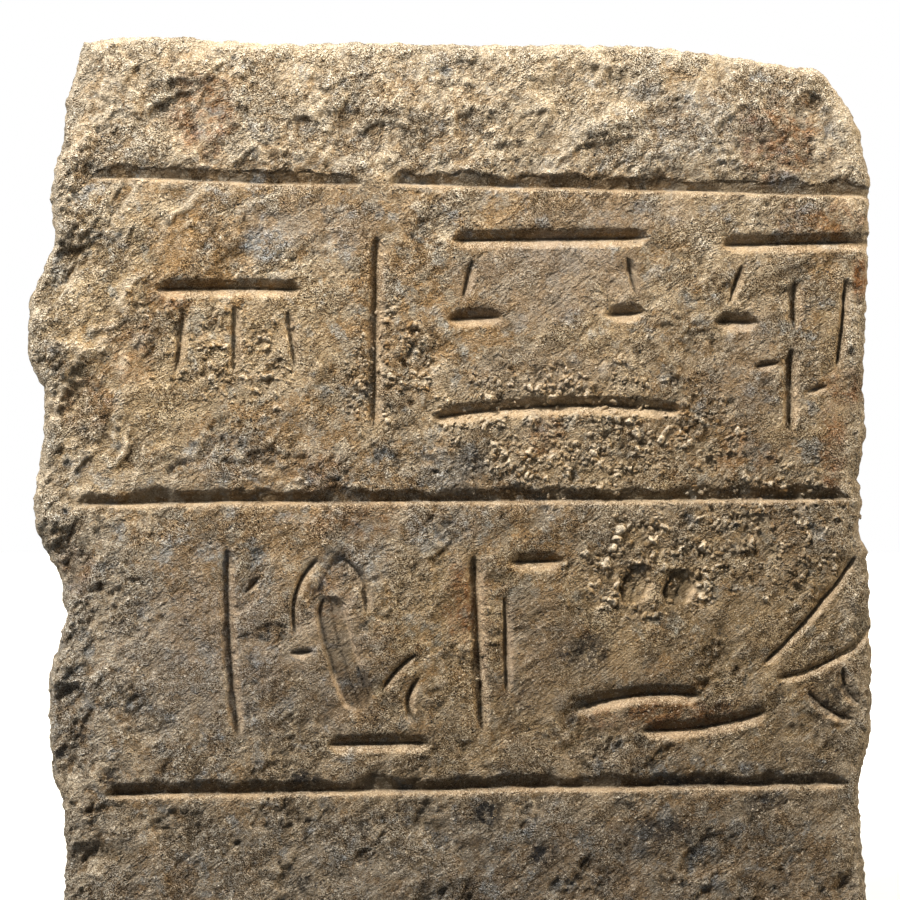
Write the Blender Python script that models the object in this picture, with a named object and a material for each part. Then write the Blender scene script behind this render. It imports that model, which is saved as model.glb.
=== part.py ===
"""Limestone relief panel: one broken block of wall limestone that stands on its sawn underside.

Its face looks along -Y, +X runs to the right of someone who reads it and +Z is up. The origin is in the middle
of the underside. Three ruled lines part the face into bands, and two of the bands hold rows of shallow strokes,
each cut as a V with the chisel held aslant. The left side and the top are broken, the back is sawn flat.
"""

import math

import bmesh
import bpy
from mathutils import Matrix, Vector, noise

# The block's own sizes, in metres.
PANEL_WIDTH = 0.380
PANEL_HEIGHT = 0.400
PANEL_THICKNESS = 0.080

# How far the breaks bite into the block's left side, right side and top, at the most.
LEFT_BREAK = 0.025
RIGHT_BREAK = 0.027
TOP_BREAK = 0.015

# The face falls back towards its broken edges, by this much over this distance.
LEFT_FALL, LEFT_FALL_RUN = 0.0065, 0.030
RIGHT_FALL, RIGHT_FALL_RUN = 0.0025, 0.010
TOP_FALL, TOP_FALL_RUN = 0.0070, 0.034

# The worn arris between the face and the sides, the one at the back, and how far the sides lean in behind.
FRONT_ARRIS, FRONT_ARRIS_RUN = 0.0035, 0.009
BACK_ARRIS, BACK_ARRIS_RUN = 0.0025, 0.004
SIDE_LEAN = 0.006

# Unevenness: of the dressed face, of the rough band above the upper line, and of the broken sides.
FACE_WAVE, FACE_WAVE_LENGTH = 0.0007, 0.045
ROUGH_WAVE, ROUGH_WAVE_LENGTH = 0.0026, 0.022
SIDE_WAVE, SIDE_WAVE_LENGTH = 0.0045, 0.030

# The grid that the block is shaped on.
FACE_COLUMNS = 34
FACE_ROWS = 40
SIDE_STEPS = 4
WOBBLE_FADE = 6
RECESS_FADE = 2

# Half the width and the depth of each kind of cut.
LINE_CUT = (0.0030, 0.0024)
BAR_CUT = (0.0040, 0.0028)
STEM_CUT = (0.0034, 0.0028)
TICK_CUT = (0.0026, 0.0020)
BROAD_CUT = (0.0075, 0.0024)
BOW_STEPS = 4
TIP_LENGTH = 0.12
TIP_SHARE = 0.25

STONE_COLOUR = (0.300, 0.220, 0.140, 1.0)
STONE_ROUGHNESS = 0.95

# A broken edge: how far up the block, or across its top, and what share of the break is gone there.
LEFT_EDGE = (
    (0.00, 0.66), (0.09, 0.70), (0.14, 0.63), (0.16, 0.47), (0.20, 0.38), (0.28, 0.40), (0.31, 0.57),
    (0.35, 0.72), (0.39, 0.60), (0.43, 0.24), (0.47, 0.12), (0.52, 0.23), (0.56, 0.31), (0.605, 0.31),
    (0.63, 0.08), (0.65, 0.0), (0.68, 0.0), (0.71, 0.10), (0.735, 0.27), (0.76, 0.48), (0.84, 0.46),
    (0.87, 0.59), (0.93, 0.74), (1.00, 1.00),
)
RIGHT_EDGE = (
    (0.00, 0.05), (0.12, 0.19), (0.16, 0.22), (0.22, 0.0), (0.29, 0.0), (0.42, 0.06), (0.445, 0.24),
    (0.475, 0.13), (0.50, 0.24), (0.56, 0.08), (0.61, 0.15), (0.70, 0.08), (0.84, 0.03), (0.87, 0.13),
    (0.893, 0.19), (0.915, 0.33), (0.938, 0.55), (0.963, 0.85), (1.00, 1.00),
)
TOP_EDGE = (
    (0.00, 0.12), (0.06, 0.0), (0.17, 0.0), (0.21, 0.14), (0.32, 0.22), (0.39, 0.15), (0.57, 0.26),
    (0.71, 0.25), (0.80, 0.42), (0.88, 0.64), (0.93, 0.85), (1.00, 1.00),
)

# Flake scars on the face: place across and up, half width and half height, as shares, and depth in metres.
FLAKE_SCARS = (
    (0.19, 0.915, 0.070, 0.040, 0.0024),
    (0.67, 0.935, 0.075, 0.032, 0.0022),
    (0.92, 0.900, 0.080, 0.055, 0.0026),
    (0.40, 0.890, 0.110, 0.030, 0.0012),
    (0.07, 0.710, 0.050, 0.070, 0.0030),
    (0.08, 0.590, 0.035, 0.060, 0.0022),
    (0.04, 0.410, 0.045, 0.045, 0.0040),
    (0.05, 0.210, 0.040, 0.070, 0.0030),
    (0.98, 0.590, 0.030, 0.055, 0.0018),
    (0.72, 0.530, 0.130, 0.050, 0.0009),
    (0.98, 0.400, 0.035, 0.030, 0.0016),
)

# The cuts, in hundredths of the panel's width and height: from, to, and the bow as a share of the length.
RULED_LINES = (
    (7.1, 84.0, 40.3, 83.0, 0.0),
    (42.4, 83.2, 102.0, 81.8, 0.0),
    (5.9, 47.5, 97.6, 48.1, -0.002),
    (9.2, 15.0, 97.4, 16.3, -0.002),
)
UPPER_ROW = (
    (BAR_CUT, 15.6, 71.3, 32.8, 71.3, 0.01),
    (TICK_CUT, 19.0, 68.9, 18.1, 62.2, 0.0),
    (TICK_CUT, 24.9, 69.4, 24.9, 62.0, 0.0),
    (TICK_CUT, 31.1, 68.9, 32.1, 62.7, 0.0),
    (STEM_CUT, 41.6, 77.2, 41.3, 56.0, 0.0),
    (BAR_CUT, 50.4, 76.8, 73.6, 77.1, 0.0),
    (BAR_CUT, 49.9, 68.0, 56.3, 68.3, 0.0),
    (BAR_CUT, 68.4, 68.5, 73.3, 68.8, 0.0),
    (TICK_CUT, 52.8, 74.6, 51.7, 70.3, 0.0),
    (TICK_CUT, 71.0, 74.8, 72.1, 70.7, 0.0),
    (BAR_CUT, 48.3, 57.0, 77.3, 57.8, 0.035),
    (BAR_CUT, 82.1, 76.3, 102.0, 76.7, 0.0),
    (BAR_CUT, 81.1, 67.8, 86.5, 67.6, 0.0),
    (TICK_CUT, 84.4, 74.0, 82.9, 69.8, 0.0),
    (STEM_CUT, 90.6, 72.3, 90.6, 66.9, 0.0),
    (STEM_CUT, 90.2, 64.7, 90.1, 55.5, 0.0),
    (TICK_CUT, 85.8, 62.7, 88.8, 63.2, 0.0),
    (TICK_CUT, 91.9, 59.9, 94.4, 60.6, 0.0),
    (TICK_CUT, 96.5, 72.3, 95.5, 62.4, 0.02),
)
LOWER_ROW = (
    (STEM_CUT, 24.1, 42.2, 25.4, 21.8, -0.02),
    (TICK_CUT, 26.2, 37.5, 28.0, 39.3, 0.0),
    (TICK_CUT, 32.2, 33.0, 34.6, 41.3, 0.15),
    (TICK_CUT, 37.7, 41.3, 40.3, 35.3, 0.15),
    (BROAD_CUT, 36.0, 37.1, 40.0, 24.5, -0.04),
    (TICK_CUT, 42.2, 26.5, 46.2, 30.6, 0.08),
    (TICK_CUT, 46.6, 28.1, 46.2, 22.9, -0.20),
    (BAR_CUT, 35.8, 20.6, 48.1, 20.8, 0.0),
    (TICK_CUT, 31.4, 30.8, 34.2, 31.0, 0.0),
    (STEM_CUT, 53.0, 41.6, 54.0, 22.3, 0.0),
    (TICK_CUT, 56.6, 37.1, 56.9, 26.5, 0.0),
    (BAR_CUT, 57.0, 40.9, 63.6, 41.1, 0.0),
    (TICK_CUT, 71.2, 36.2, 73.6, 40.4, 0.1),
    (TICK_CUT, 76.3, 36.0, 78.4, 39.8, 0.1),
    (BAR_CUT, 64.6, 24.4, 79.7, 26.0, 0.06),
    (BAR_CUT, 72.6, 22.2, 87.4, 24.3, -0.05),
    (TICK_CUT, 97.8, 41.6, 86.8, 29.6, 0.03),
    (TICK_CUT, 100.0, 33.7, 88.6, 28.0, 0.08),
    (TICK_CUT, 92.2, 26.6, 97.6, 23.4, -0.10),
    (TICK_CUT, 96.2, 29.2, 98.2, 25.0, -0.10),
)


def share_at(table, place):
    """The second value of a table of pairs at this place, by straight lines between the pairs."""
    for (x0, y0), (x1, y1) in zip(table, table[1:]):
        if place <= x1:
            return y0 + (y1 - y0) * (place - x0) / (x1 - x0)
    return table[-1][1]


def fall(distance, depth, run):
    """How far a surface has dropped, this far from an edge where it has dropped by depth."""
    return depth * max(0.0, 1.0 - distance / run) ** 2


def wave(point, size, length):
    """A smooth unevenness of the stone, from 0 to size, which repeats nowhere."""
    return size * max(0.0, noise.noise(point / length) * 1.6)


def edges_at(x_share, z_share):
    """The left side's x, the right side's x and the top's z, at this place on the block."""
    top = PANEL_HEIGHT - TOP_BREAK * share_at(TOP_EDGE, x_share)
    left = -PANEL_WIDTH / 2 + LEFT_BREAK * share_at(LEFT_EDGE, z_share)
    right = PANEL_WIDTH / 2 - RIGHT_BREAK * share_at(RIGHT_EDGE, z_share)
    return left, right, top


def face_recess(x, z):
    """How far the uncut face lies behind the block's foremost plane."""
    x_share, z_share = x / PANEL_WIDTH + 0.5, z / PANEL_HEIGHT
    left, right, top = edges_at(x_share, z_share)
    recess = fall(max(0.0, x - left), LEFT_FALL, LEFT_FALL_RUN)
    recess += fall(max(0.0, right - x), RIGHT_FALL, RIGHT_FALL_RUN)
    recess += fall(max(0.0, top - z), TOP_FALL, TOP_FALL_RUN)
    for scar_x, scar_z, half_wide, half_high, depth in FLAKE_SCARS:
        reach = math.hypot((x_share - scar_x) / half_wide, (z_share - scar_z) / half_high)
        recess += depth * max(0.0, 1.0 - reach**2)
    place = Vector((x, 0.0, z))
    rough_line = RULED_LINES[0][1] / 100 * PANEL_HEIGHT
    recess += wave(place, FACE_WAVE, FACE_WAVE_LENGTH)
    if z > rough_line:
        recess += wave(place, ROUGH_WAVE, ROUGH_WAVE_LENGTH)
    return recess


def shaped(corner):
    """Where a corner of the gridded unit cube goes: x and z over the face, y through the block."""
    x_share, y_share, z_share = corner.x + 0.5, corner.y + 0.5, corner.z + 0.5
    behind = y_share * PANEL_THICKNESS
    place = Vector((corner.x * PANEL_WIDTH, behind, z_share * PANEL_HEIGHT))

    # The sides and the top are drawn in by the worn arris, the lean and their own unevenness.
    inset = fall(behind, FRONT_ARRIS, FRONT_ARRIS_RUN)
    inset += fall(PANEL_THICKNESS - behind, BACK_ARRIS, BACK_ARRIS_RUN)
    inside = max(0.0, behind - FRONT_ARRIS_RUN) / (PANEL_THICKNESS - FRONT_ARRIS_RUN)
    inset += inside * SIDE_LEAN + min(1.0, inside * 4) * wave(place, SIDE_WAVE, SIDE_WAVE_LENGTH)

    drop = PANEL_HEIGHT - edges_at(x_share, 0.0)[2] + inset
    z = z_share * PANEL_HEIGHT - drop * z_share**WOBBLE_FADE
    left, right, _ = edges_at(x_share, z / PANEL_HEIGHT)
    x = place.x + (left + PANEL_WIDTH / 2 + inset) * (1.0 - x_share) ** WOBBLE_FADE
    x -= (PANEL_WIDTH / 2 - right + inset) * x_share**WOBBLE_FADE

    # What the face has lost is shared out through the thickness, down to nothing at the back, which is one plane.
    recess = face_recess(x, z) * (1.0 - y_share) ** RECESS_FADE
    return Vector((x, behind - PANEL_THICKNESS / 2 + recess, z))


def gridded_cube():
    """A unit cube cut into a grid: columns and rows over the face, and steps through the block."""
    grid = bmesh.new()
    bmesh.ops.create_cube(grid, size=1.0)
    near_face = FRONT_ARRIS_RUN / PANEL_THICKNESS
    near_back = BACK_ARRIS_RUN / PANEL_THICKNESS
    steps = [near_face / 3, near_face]
    steps += [near_face + (1 - near_face - near_back) * (i + 1) / SIDE_STEPS for i in range(SIDE_STEPS)]
    places = {
        (1, 0, 0): [i / FACE_COLUMNS for i in range(1, FACE_COLUMNS)],
        (0, 1, 0): steps,
        (0, 0, 1): [i / FACE_ROWS for i in range(1, FACE_ROWS)],
    }
    for axis, shares in places.items():
        for share in shares:
            everything = grid.verts[:] + grid.edges[:] + grid.faces[:]
            cut = Vector(axis) * (share - 0.5)
            bmesh.ops.bisect_plane(grid, geom=everything, plane_co=cut, plane_no=axis)
    return grid


def in_plane(edge, normal):
    """Whether both faces at this edge look along the normal."""
    return all(face.normal.dot(normal) > 0.99999 for face in edge.link_faces)


def stone_material():
    material = bpy.data.materials.new("limestone")
    material.use_nodes = True
    shader = material.node_tree.nodes["Principled BSDF"]
    shader.inputs["Base Color"].default_value = STONE_COLOUR
    shader.inputs["Roughness"].default_value = STONE_ROUGHNESS
    shader.inputs["Metallic"].default_value = 0.0
    return material


def stone_block(collection):
    """The whole block, uncut, with its flat back and underside each as one face."""
    grid = gridded_cube()
    for vertex in grid.verts:
        vertex.co = shaped(vertex.co)
    grid.normal_update()
    for normal in (Vector((0.0, 1.0, 0.0)), Vector((0.0, 0.0, -1.0))):
        inner = [edge for edge in grid.edges if in_plane(edge, normal)]
        bmesh.ops.dissolve_edges(grid, edges=inner, use_verts=True)
        grid.normal_update()
    bmesh.ops.triangulate(grid, faces=[face for face in grid.faces if len(face.verts) == 4])
    bmesh.ops.recalc_face_normals(grid, faces=grid.faces)
    mesh = bpy.data.meshes.new("relief_panel")
    grid.to_mesh(mesh)
    grid.free()
    mesh.materials.append(stone_material())
    block = bpy.data.objects.new("relief_panel", mesh)
    collection.objects.link(block)
    return block


def bowed_path(x0, z0, x1, z1, bow):
    """Points along a cut, in metres on the face, with a share of the full width at each: it narrows at its tips."""
    start = Vector(((x0 / 100 - 0.5) * PANEL_WIDTH, z0 / 100 * PANEL_HEIGHT))
    end = Vector(((x1 / 100 - 0.5) * PANEL_WIDTH, z1 / 100 * PANEL_HEIGHT))
    run = end - start
    aside = Vector((-run.y, run.x))
    body = BOW_STEPS if abs(bow) > 0.02 else 1
    shares = [0.0] + [TIP_LENGTH + (1.0 - 2 * TIP_LENGTH) * i / body for i in range(body + 1)] + [1.0]
    path = []
    for t in shares:
        point = start + run * t + aside * (bow * 4 * t * (1 - t))
        path.append((point, TIP_SHARE if t in (0.0, 1.0) else 1.0))
    return path


def cutter(name, cut, ends, collection):
    """A tube of diamond section laid in the face: its inner half is the V that the chisel leaves."""
    half_width, depth = cut
    path = bowed_path(*ends)
    curve = bpy.data.curves.new(name, "CURVE")
    curve.dimensions = "2D"
    curve.fill_mode = "NONE"
    curve.bevel_depth = half_width
    curve.bevel_resolution = 0
    curve.use_fill_caps = True
    spline = curve.splines.new("POLY")
    spline.points.add(len(path) - 1)
    for point, (place, width_share) in zip(spline.points, path):
        point.co = (place.x, place.y, 0.0, 1.0)
        point.radius = width_share
    guide = bpy.data.objects.new(name + "_guide", curve)
    collection.objects.link(guide)

    middle = (path[0][0] + path[-1][0]) / 2
    surface = -PANEL_THICKNESS / 2 + face_recess(middle.x, middle.y)
    flatten = Matrix.Diagonal((1.0, 1.0, depth / half_width, 1.0))
    upright = Matrix.Translation((0.0, surface, 0.0)) @ Matrix.Rotation(math.radians(90), 4, "X")
    bpy.context.view_layer.update()
    evaluated = guide.evaluated_get(bpy.context.evaluated_depsgraph_get())
    mesh = bpy.data.meshes.new_from_object(evaluated)
    mesh.transform(upright @ flatten)
    welded = bmesh.new()
    welded.from_mesh(mesh)
    bmesh.ops.remove_doubles(welded, verts=welded.verts, dist=1e-6)
    bmesh.ops.recalc_face_normals(welded, faces=welded.faces)
    bmesh.ops.triangulate(welded, faces=welded.faces)
    welded.to_mesh(mesh)
    welded.free()
    bpy.data.objects.remove(guide)

    tool = bpy.data.objects.new(name, mesh)
    tool.hide_render = True
    tool.display_type = "WIRE"
    collection.objects.link(tool)
    return tool


def carve(block, collection):
    """Cuts the ruled lines and both rows of strokes into the block's face."""
    cuts = [("line", LINE_CUT, ends) for ends in RULED_LINES]
    cuts += [("upper", cut, ends) for cut, *ends in UPPER_ROW]
    cuts += [("lower", cut, ends) for cut, *ends in LOWER_ROW]
    for number, (row, cut, ends) in enumerate(cuts):
        cutter(f"{row}_cut_{number}", cut, ends, collection)
    modifier = block.modifiers.new("carving", "BOOLEAN")
    modifier.operation = "DIFFERENCE"
    modifier.solver = "EXACT"
    modifier.operand_type = "COLLECTION"
    modifier.collection = collection


def new_collection(name):
    collection = bpy.data.collections.new(name)
    bpy.context.scene.collection.children.link(collection)
    return collection


def main():
    for obj in list(bpy.data.objects):
        bpy.data.objects.remove(obj)
    panel = new_collection("relief panel")
    cutters = new_collection("cutters")
    block = stone_block(panel)
    carve(block, cutters)


main()
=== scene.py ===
"""Looks of the limestone relief panel: its weathered, carved stone, and the crust and crumbs on its face.

Run as a script, it puts a finely shaped stone in place of the plain solid, sets up a pale studio with a
camera square to the face, and renders nothing itself. Everything is in metres: the face looks along -Y, +X
is to the right of someone who faces it, and +Z is up from the flat underside.
"""

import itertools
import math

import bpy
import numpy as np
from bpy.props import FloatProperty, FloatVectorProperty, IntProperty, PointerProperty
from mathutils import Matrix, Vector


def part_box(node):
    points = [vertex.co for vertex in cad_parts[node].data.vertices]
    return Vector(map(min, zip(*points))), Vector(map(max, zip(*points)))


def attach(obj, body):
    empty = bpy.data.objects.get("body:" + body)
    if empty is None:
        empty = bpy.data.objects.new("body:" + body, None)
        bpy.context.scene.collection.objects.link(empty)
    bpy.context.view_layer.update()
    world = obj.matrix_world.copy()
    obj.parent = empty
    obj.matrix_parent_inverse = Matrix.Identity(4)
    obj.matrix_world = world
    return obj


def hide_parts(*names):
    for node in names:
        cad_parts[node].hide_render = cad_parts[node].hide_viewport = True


bl_info = {
    "name": "Limestone Relief Panel",
    "version": (1, 0, 0),
    "blender": (4, 5, 0),
    "location": "View3D > Sidebar > Relief",
    "description": "Makes a weathered limestone block with ruled lines and rows of carved strokes",
    "category": "Add Mesh",
}

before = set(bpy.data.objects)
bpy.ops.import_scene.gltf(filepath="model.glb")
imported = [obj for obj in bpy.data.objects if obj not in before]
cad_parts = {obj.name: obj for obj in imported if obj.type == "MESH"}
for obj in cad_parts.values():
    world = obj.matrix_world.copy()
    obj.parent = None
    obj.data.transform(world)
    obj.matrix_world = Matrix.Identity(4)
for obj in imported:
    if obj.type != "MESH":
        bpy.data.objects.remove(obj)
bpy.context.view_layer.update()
BLOCK_LOW, BLOCK_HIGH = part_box("relief_panel")

# A broken edge: how far up the block, or across its top, and what share of the break is gone there.
LEFT_EDGE = (
    (0.00, 0.66), (0.09, 0.70), (0.14, 0.63), (0.16, 0.47), (0.20, 0.38), (0.28, 0.40), (0.31, 0.57),
    (0.35, 0.72), (0.39, 0.60), (0.43, 0.24), (0.47, 0.12), (0.52, 0.23), (0.56, 0.31), (0.605, 0.31),
    (0.63, 0.08), (0.65, 0.0), (0.68, 0.0), (0.71, 0.10), (0.735, 0.27), (0.76, 0.48), (0.84, 0.46),
    (0.87, 0.59), (0.93, 0.74), (1.00, 1.00),
)
RIGHT_EDGE = (
    (0.00, 0.05), (0.12, 0.19), (0.16, 0.22), (0.22, 0.0), (0.29, 0.0), (0.42, 0.06), (0.445, 0.24),
    (0.475, 0.13), (0.50, 0.24), (0.56, 0.08), (0.61, 0.15), (0.70, 0.08), (0.84, 0.03), (0.87, 0.13),
    (0.893, 0.19), (0.915, 0.33), (0.938, 0.55), (0.963, 0.85), (1.00, 1.00),
)
TOP_EDGE = (
    (0.00, 0.12), (0.06, 0.0), (0.17, 0.0), (0.21, 0.14), (0.32, 0.22), (0.39, 0.15), (0.57, 0.26),
    (0.71, 0.25), (0.80, 0.42), (0.88, 0.64), (0.93, 0.85), (1.00, 1.00),
)

# How far the face falls back at its broken edges, and over what distance.
LEFT_FALL, LEFT_FALL_RUN = 0.0065, 0.030
RIGHT_FALL, RIGHT_FALL_RUN = 0.0025, 0.010
TOP_FALL, TOP_FALL_RUN = 0.0070, 0.034
FRONT_ARRIS, FRONT_ARRIS_RUN = 0.0035, 0.009
BACK_ARRIS, BACK_ARRIS_RUN = 0.0025, 0.004

# Flake scars on the face: place across and up, half width and half height, as shares, and depth in metres.
FLAKE_SCARS = (
    (0.19, 0.915, 0.070, 0.040, 0.0024),
    (0.67, 0.935, 0.075, 0.032, 0.0022),
    (0.92, 0.900, 0.080, 0.055, 0.0026),
    (0.40, 0.890, 0.110, 0.030, 0.0012),
    (0.07, 0.710, 0.050, 0.070, 0.0030),
    (0.08, 0.590, 0.035, 0.060, 0.0022),
    (0.04, 0.410, 0.045, 0.045, 0.0040),
    (0.05, 0.210, 0.040, 0.070, 0.0030),
    (0.98, 0.590, 0.030, 0.055, 0.0018),
    (0.72, 0.530, 0.130, 0.050, 0.0009),
    (0.98, 0.400, 0.035, 0.030, 0.0016),
)

# The cuts, in hundredths of the panel's width and height: from, to, and the bow as a share of the length.
RULED_LINES = (
    (7.1, 84.0, 40.3, 83.0),
    (42.4, 83.2, 102.0, 81.8),
    (5.9, 47.5, 97.6, 48.1),
    (9.2, 15.0, 97.4, 16.3),
)
STROKES = (
    ("bar", 15.6, 71.3, 32.8, 71.3, 0.01),
    ("tick", 19.0, 68.9, 18.1, 62.2, 0.0),
    ("tick", 24.9, 69.4, 24.9, 62.0, 0.0),
    ("tick", 31.1, 68.9, 32.1, 62.7, 0.0),
    ("stem", 41.6, 77.2, 41.3, 56.0, 0.0),
    ("bar", 50.4, 76.8, 73.6, 77.1, 0.0),
    ("bar", 49.9, 68.0, 56.3, 68.3, 0.0),
    ("bar", 68.4, 68.5, 73.3, 68.8, 0.0),
    ("tick", 52.8, 74.6, 51.7, 70.3, 0.0),
    ("tick", 71.0, 74.8, 72.1, 70.7, 0.0),
    ("bar", 48.3, 57.0, 77.3, 57.8, 0.035),
    ("bar", 82.1, 76.3, 102.0, 76.7, 0.0),
    ("bar", 81.1, 67.8, 86.5, 67.6, 0.0),
    ("tick", 84.4, 74.0, 82.9, 69.8, 0.0),
    ("stem", 90.6, 72.3, 90.6, 66.9, 0.0),
    ("stem", 90.2, 64.7, 90.1, 55.5, 0.0),
    ("tick", 85.8, 62.7, 88.8, 63.2, 0.0),
    ("tick", 91.9, 59.9, 94.4, 60.6, 0.0),
    ("tick", 96.5, 72.3, 95.5, 62.4, 0.02),
    ("stem", 24.1, 42.2, 25.4, 21.8, -0.02),
    ("tick", 26.2, 37.5, 28.0, 39.3, 0.0),
    ("tick", 32.2, 33.0, 34.6, 41.3, 0.15),
    ("tick", 37.7, 41.3, 40.3, 35.3, 0.15),
    ("broad", 36.0, 37.1, 40.0, 24.5, -0.04),
    ("tick", 42.2, 26.5, 46.2, 30.6, 0.08),
    ("tick", 46.6, 28.1, 46.2, 22.9, -0.20),
    ("bar", 35.8, 20.6, 48.1, 20.8, 0.0),
    ("tick", 31.4, 30.8, 34.2, 31.0, 0.0),
    ("stem", 53.0, 41.6, 54.0, 22.3, 0.0),
    ("tick", 56.6, 37.1, 56.9, 26.5, 0.0),
    ("bar", 57.0, 40.9, 63.6, 41.1, 0.0),
    ("broad", 71.2, 36.2, 73.6, 40.4, 0.1),
    ("broad", 76.3, 36.0, 78.4, 39.8, 0.1),
    ("bar", 64.6, 24.4, 79.7, 26.0, 0.06),
    ("bar", 72.6, 22.2, 87.4, 24.3, -0.05),
    ("tick", 97.8, 41.6, 86.8, 29.6, 0.03),
    ("tick", 100.0, 33.7, 88.6, 28.0, 0.08),
    ("tick", 92.2, 26.6, 97.6, 23.4, -0.10),
    ("tick", 96.2, 29.2, 98.2, 25.0, -0.10),
)

# Steep fronts where flakes broke off, in hundredths of the width and height: from, to, the bow as a share
# of the length, and the step in metres down to the surface on the right of someone who goes along it.
FLAKE_FRONTS = (
    (14.0, 90.8, 19.8, 93.8, 0.05, 0.0015), (20.2, 93.4, 25.3, 98.2, 0.04, 0.0011),
    (9.2, 89.6, 10.6, 93.6, -0.15, 0.0008), (3.2, 84.0, 5.6, 86.8, 0.1, 0.0012),
    (13.4, 84.0, 10.1, 79.0, 0.08, 0.0007), (21.6, 83.8, 16.2, 79.0, 0.06, 0.0005),
    (31.0, 83.3, 27.2, 81.4, 0.1, 0.0006), (34.2, 75.4, 27.6, 72.8, 0.1, 0.0006),
    (6.2, 75.4, 3.3, 69.8, 0.1, 0.0009), (30.8, 89.8, 35.0, 89.6, 0.28, 0.0010),
    (76.0, 93.4, 67.4, 93.0, 0.16, 0.0011), (10.4, 29.3, 2.6, 27.8, 0.08, 0.0008),
    (9.6, 50.8, 12.4, 56.8, -0.2, 0.0006), (4.2, 55.8, 6.6, 62.0, 0.15, 0.0007),
    (47.0, 95.6, 55.5, 96.4, 0.12, 0.0008), (39.0, 88.2, 45.5, 89.2, 0.2, 0.0007),
    (57.0, 89.4, 64.0, 91.2, 0.15, 0.0007), (81.0, 88.6, 86.8, 92.6, 0.12, 0.0010),
    (91.0, 94.0, 96.0, 88.6, 0.18, 0.0011), (8.6, 19.8, 4.2, 16.0, 0.1, 0.0007),
    (9.0, 8.6, 4.8, 5.0, 0.1, 0.0007), (6.4, 41.0, 9.8, 45.4, 0.1, 0.0007),
    (9.8, 78.7, 12.3, 83.3, 0.1, 0.0008), (16.3, 77.7, 20.8, 81.2, 0.06, 0.0006),
    (11.8, 76.5, 13.7, 78.5, 0.1, 0.0007), (4.7, 71.5, 6.1, 74.7, 0.1, 0.0009),
    (11.8, 69.7, 14.5, 72.9, 0.1, 0.0008), (7.4, 66.6, 12.9, 68.4, -0.1, 0.0009),
    (5.5, 49.5, 9.0, 53.5, 0.1, 0.0009), (3.0, 51.0, 5.0, 55.0, 0.1, 0.0008),
    (24.0, 84.5, 30.0, 88.5, 0.1, 0.0008), (34.0, 92.0, 41.0, 95.5, 0.12, 0.0009),
    (62.0, 84.5, 68.0, 88.0, 0.1, 0.0008), (4.0, 33.0, 8.0, 37.5, 0.1, 0.0008),
)

# How far the ground beyond a flake front takes to rise again, and how wide the crest over it is, which is
# painted lighter as a highlight.
FRONT_RUN, CREST_WIDTH = 0.011, 0.0022

# Each kind of cut: its wall on the shaded side, its wall on the lit side, half its flat bottom, its depth.
CUT_WALLS = {
    "bar": (0.0046, 0.0043, 0.0001, 0.0031),
    "stem": (0.0036, 0.0038, 0.0002, 0.0028),
    "tick": (0.0020, 0.0034, 0.0001, 0.0020),
    "broad": (0.0022, 0.0026, 0.0052, 0.0024),
}

# The slit along the bottom of a stroke, the two walls and the depth of a ruled line, and how far from its
# ends a ruled line and a stroke reach their full depth.
SLIT_HALF_WIDTH, SLIT_DEPTH = 0.0009, 0.0013
LINE_SHADED_WALL, LINE_LIT_WALL, LINE_DEPTH = 0.0058, 0.0013, 0.0038
LINE_FADE, TIP_RUN = 0.009, 0.005

# Stains and crust, in hundredths of the width and height: middle, half size, and strength.
RUST_PATCHES = (
    (96.8, 60.7, 3.0, 2.2, 0.9), (95.0, 54.0, 1.8, 5.6, 0.8), (98.3, 72.5, 1.4, 3.1, 1.0),
    (7.7, 59.1, 3.5, 3.1, 0.55), (51.4, 36.6, 1.9, 5.8, 0.9), (75.6, 23.8, 11.2, 2.2, 0.8),
    (21.3, 90.7, 4.5, 4.7, 0.75), (88.5, 88.2, 5.7, 5.2, 0.8), (12.4, 64.7, 4.0, 4.5, 0.35),
    (94.1, 79.0, 5.7, 2.2, 0.6), (61.4, 54.6, 3.3, 2.9, 0.5), (85.0, 52.9, 3.5, 2.5, 0.4),
    (34.8, 51.2, 4.0, 3.1, 0.45), (5.9, 39.8, 2.6, 3.6, 0.5), (53.7, 35.3, 1.2, 6.7, 0.6),
    (39.6, 45.6, 7.1, 2.2, 0.4), (69.3, 23.2, 3.5, 1.3, 0.7), (36.0, 36.6, 2.8, 4.5, 0.3),
    (17.4, 70.3, 2.4, 1.3, 0.7),
)
DARK_PATCHES = (
    (54.4, 12.9, 1.9, 1.8, 1.0), (60.8, 8.4, 1.5, 1.5, 1.0), (7.2, 55.7, 0.9, 0.9, 1.0),
    (10.3, 17.0, 1.4, 1.3, 0.8), (33.1, 16.9, 2.1, 0.9, 0.9), (75.0, 11.3, 4.5, 1.6, 0.8),
    (39.9, 11.3, 1.1, 1.1, 0.8), (90.5, 16.6, 4.5, 0.6, 0.7), (65.8, 31.0, 3.1, 2.2, 0.7),
    (33.1, 5.7, 0.8, 1.8, 0.9), (56.7, 26.5, 2.6, 2.2, 0.4),
    (79.7, 16.3, 8.5, 0.9, 0.9), (52.5, 51.2, 3.1, 3.4, 0.5),
    (95.0, 25.4, 3.1, 3.4, 0.6), (86.8, 14.2, 3.5, 1.6, 0.6), (4.4, 63.5, 1.4, 1.8, 0.5),
    (14.8, 68.0, 3.3, 1.3, 0.35),
)
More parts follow.
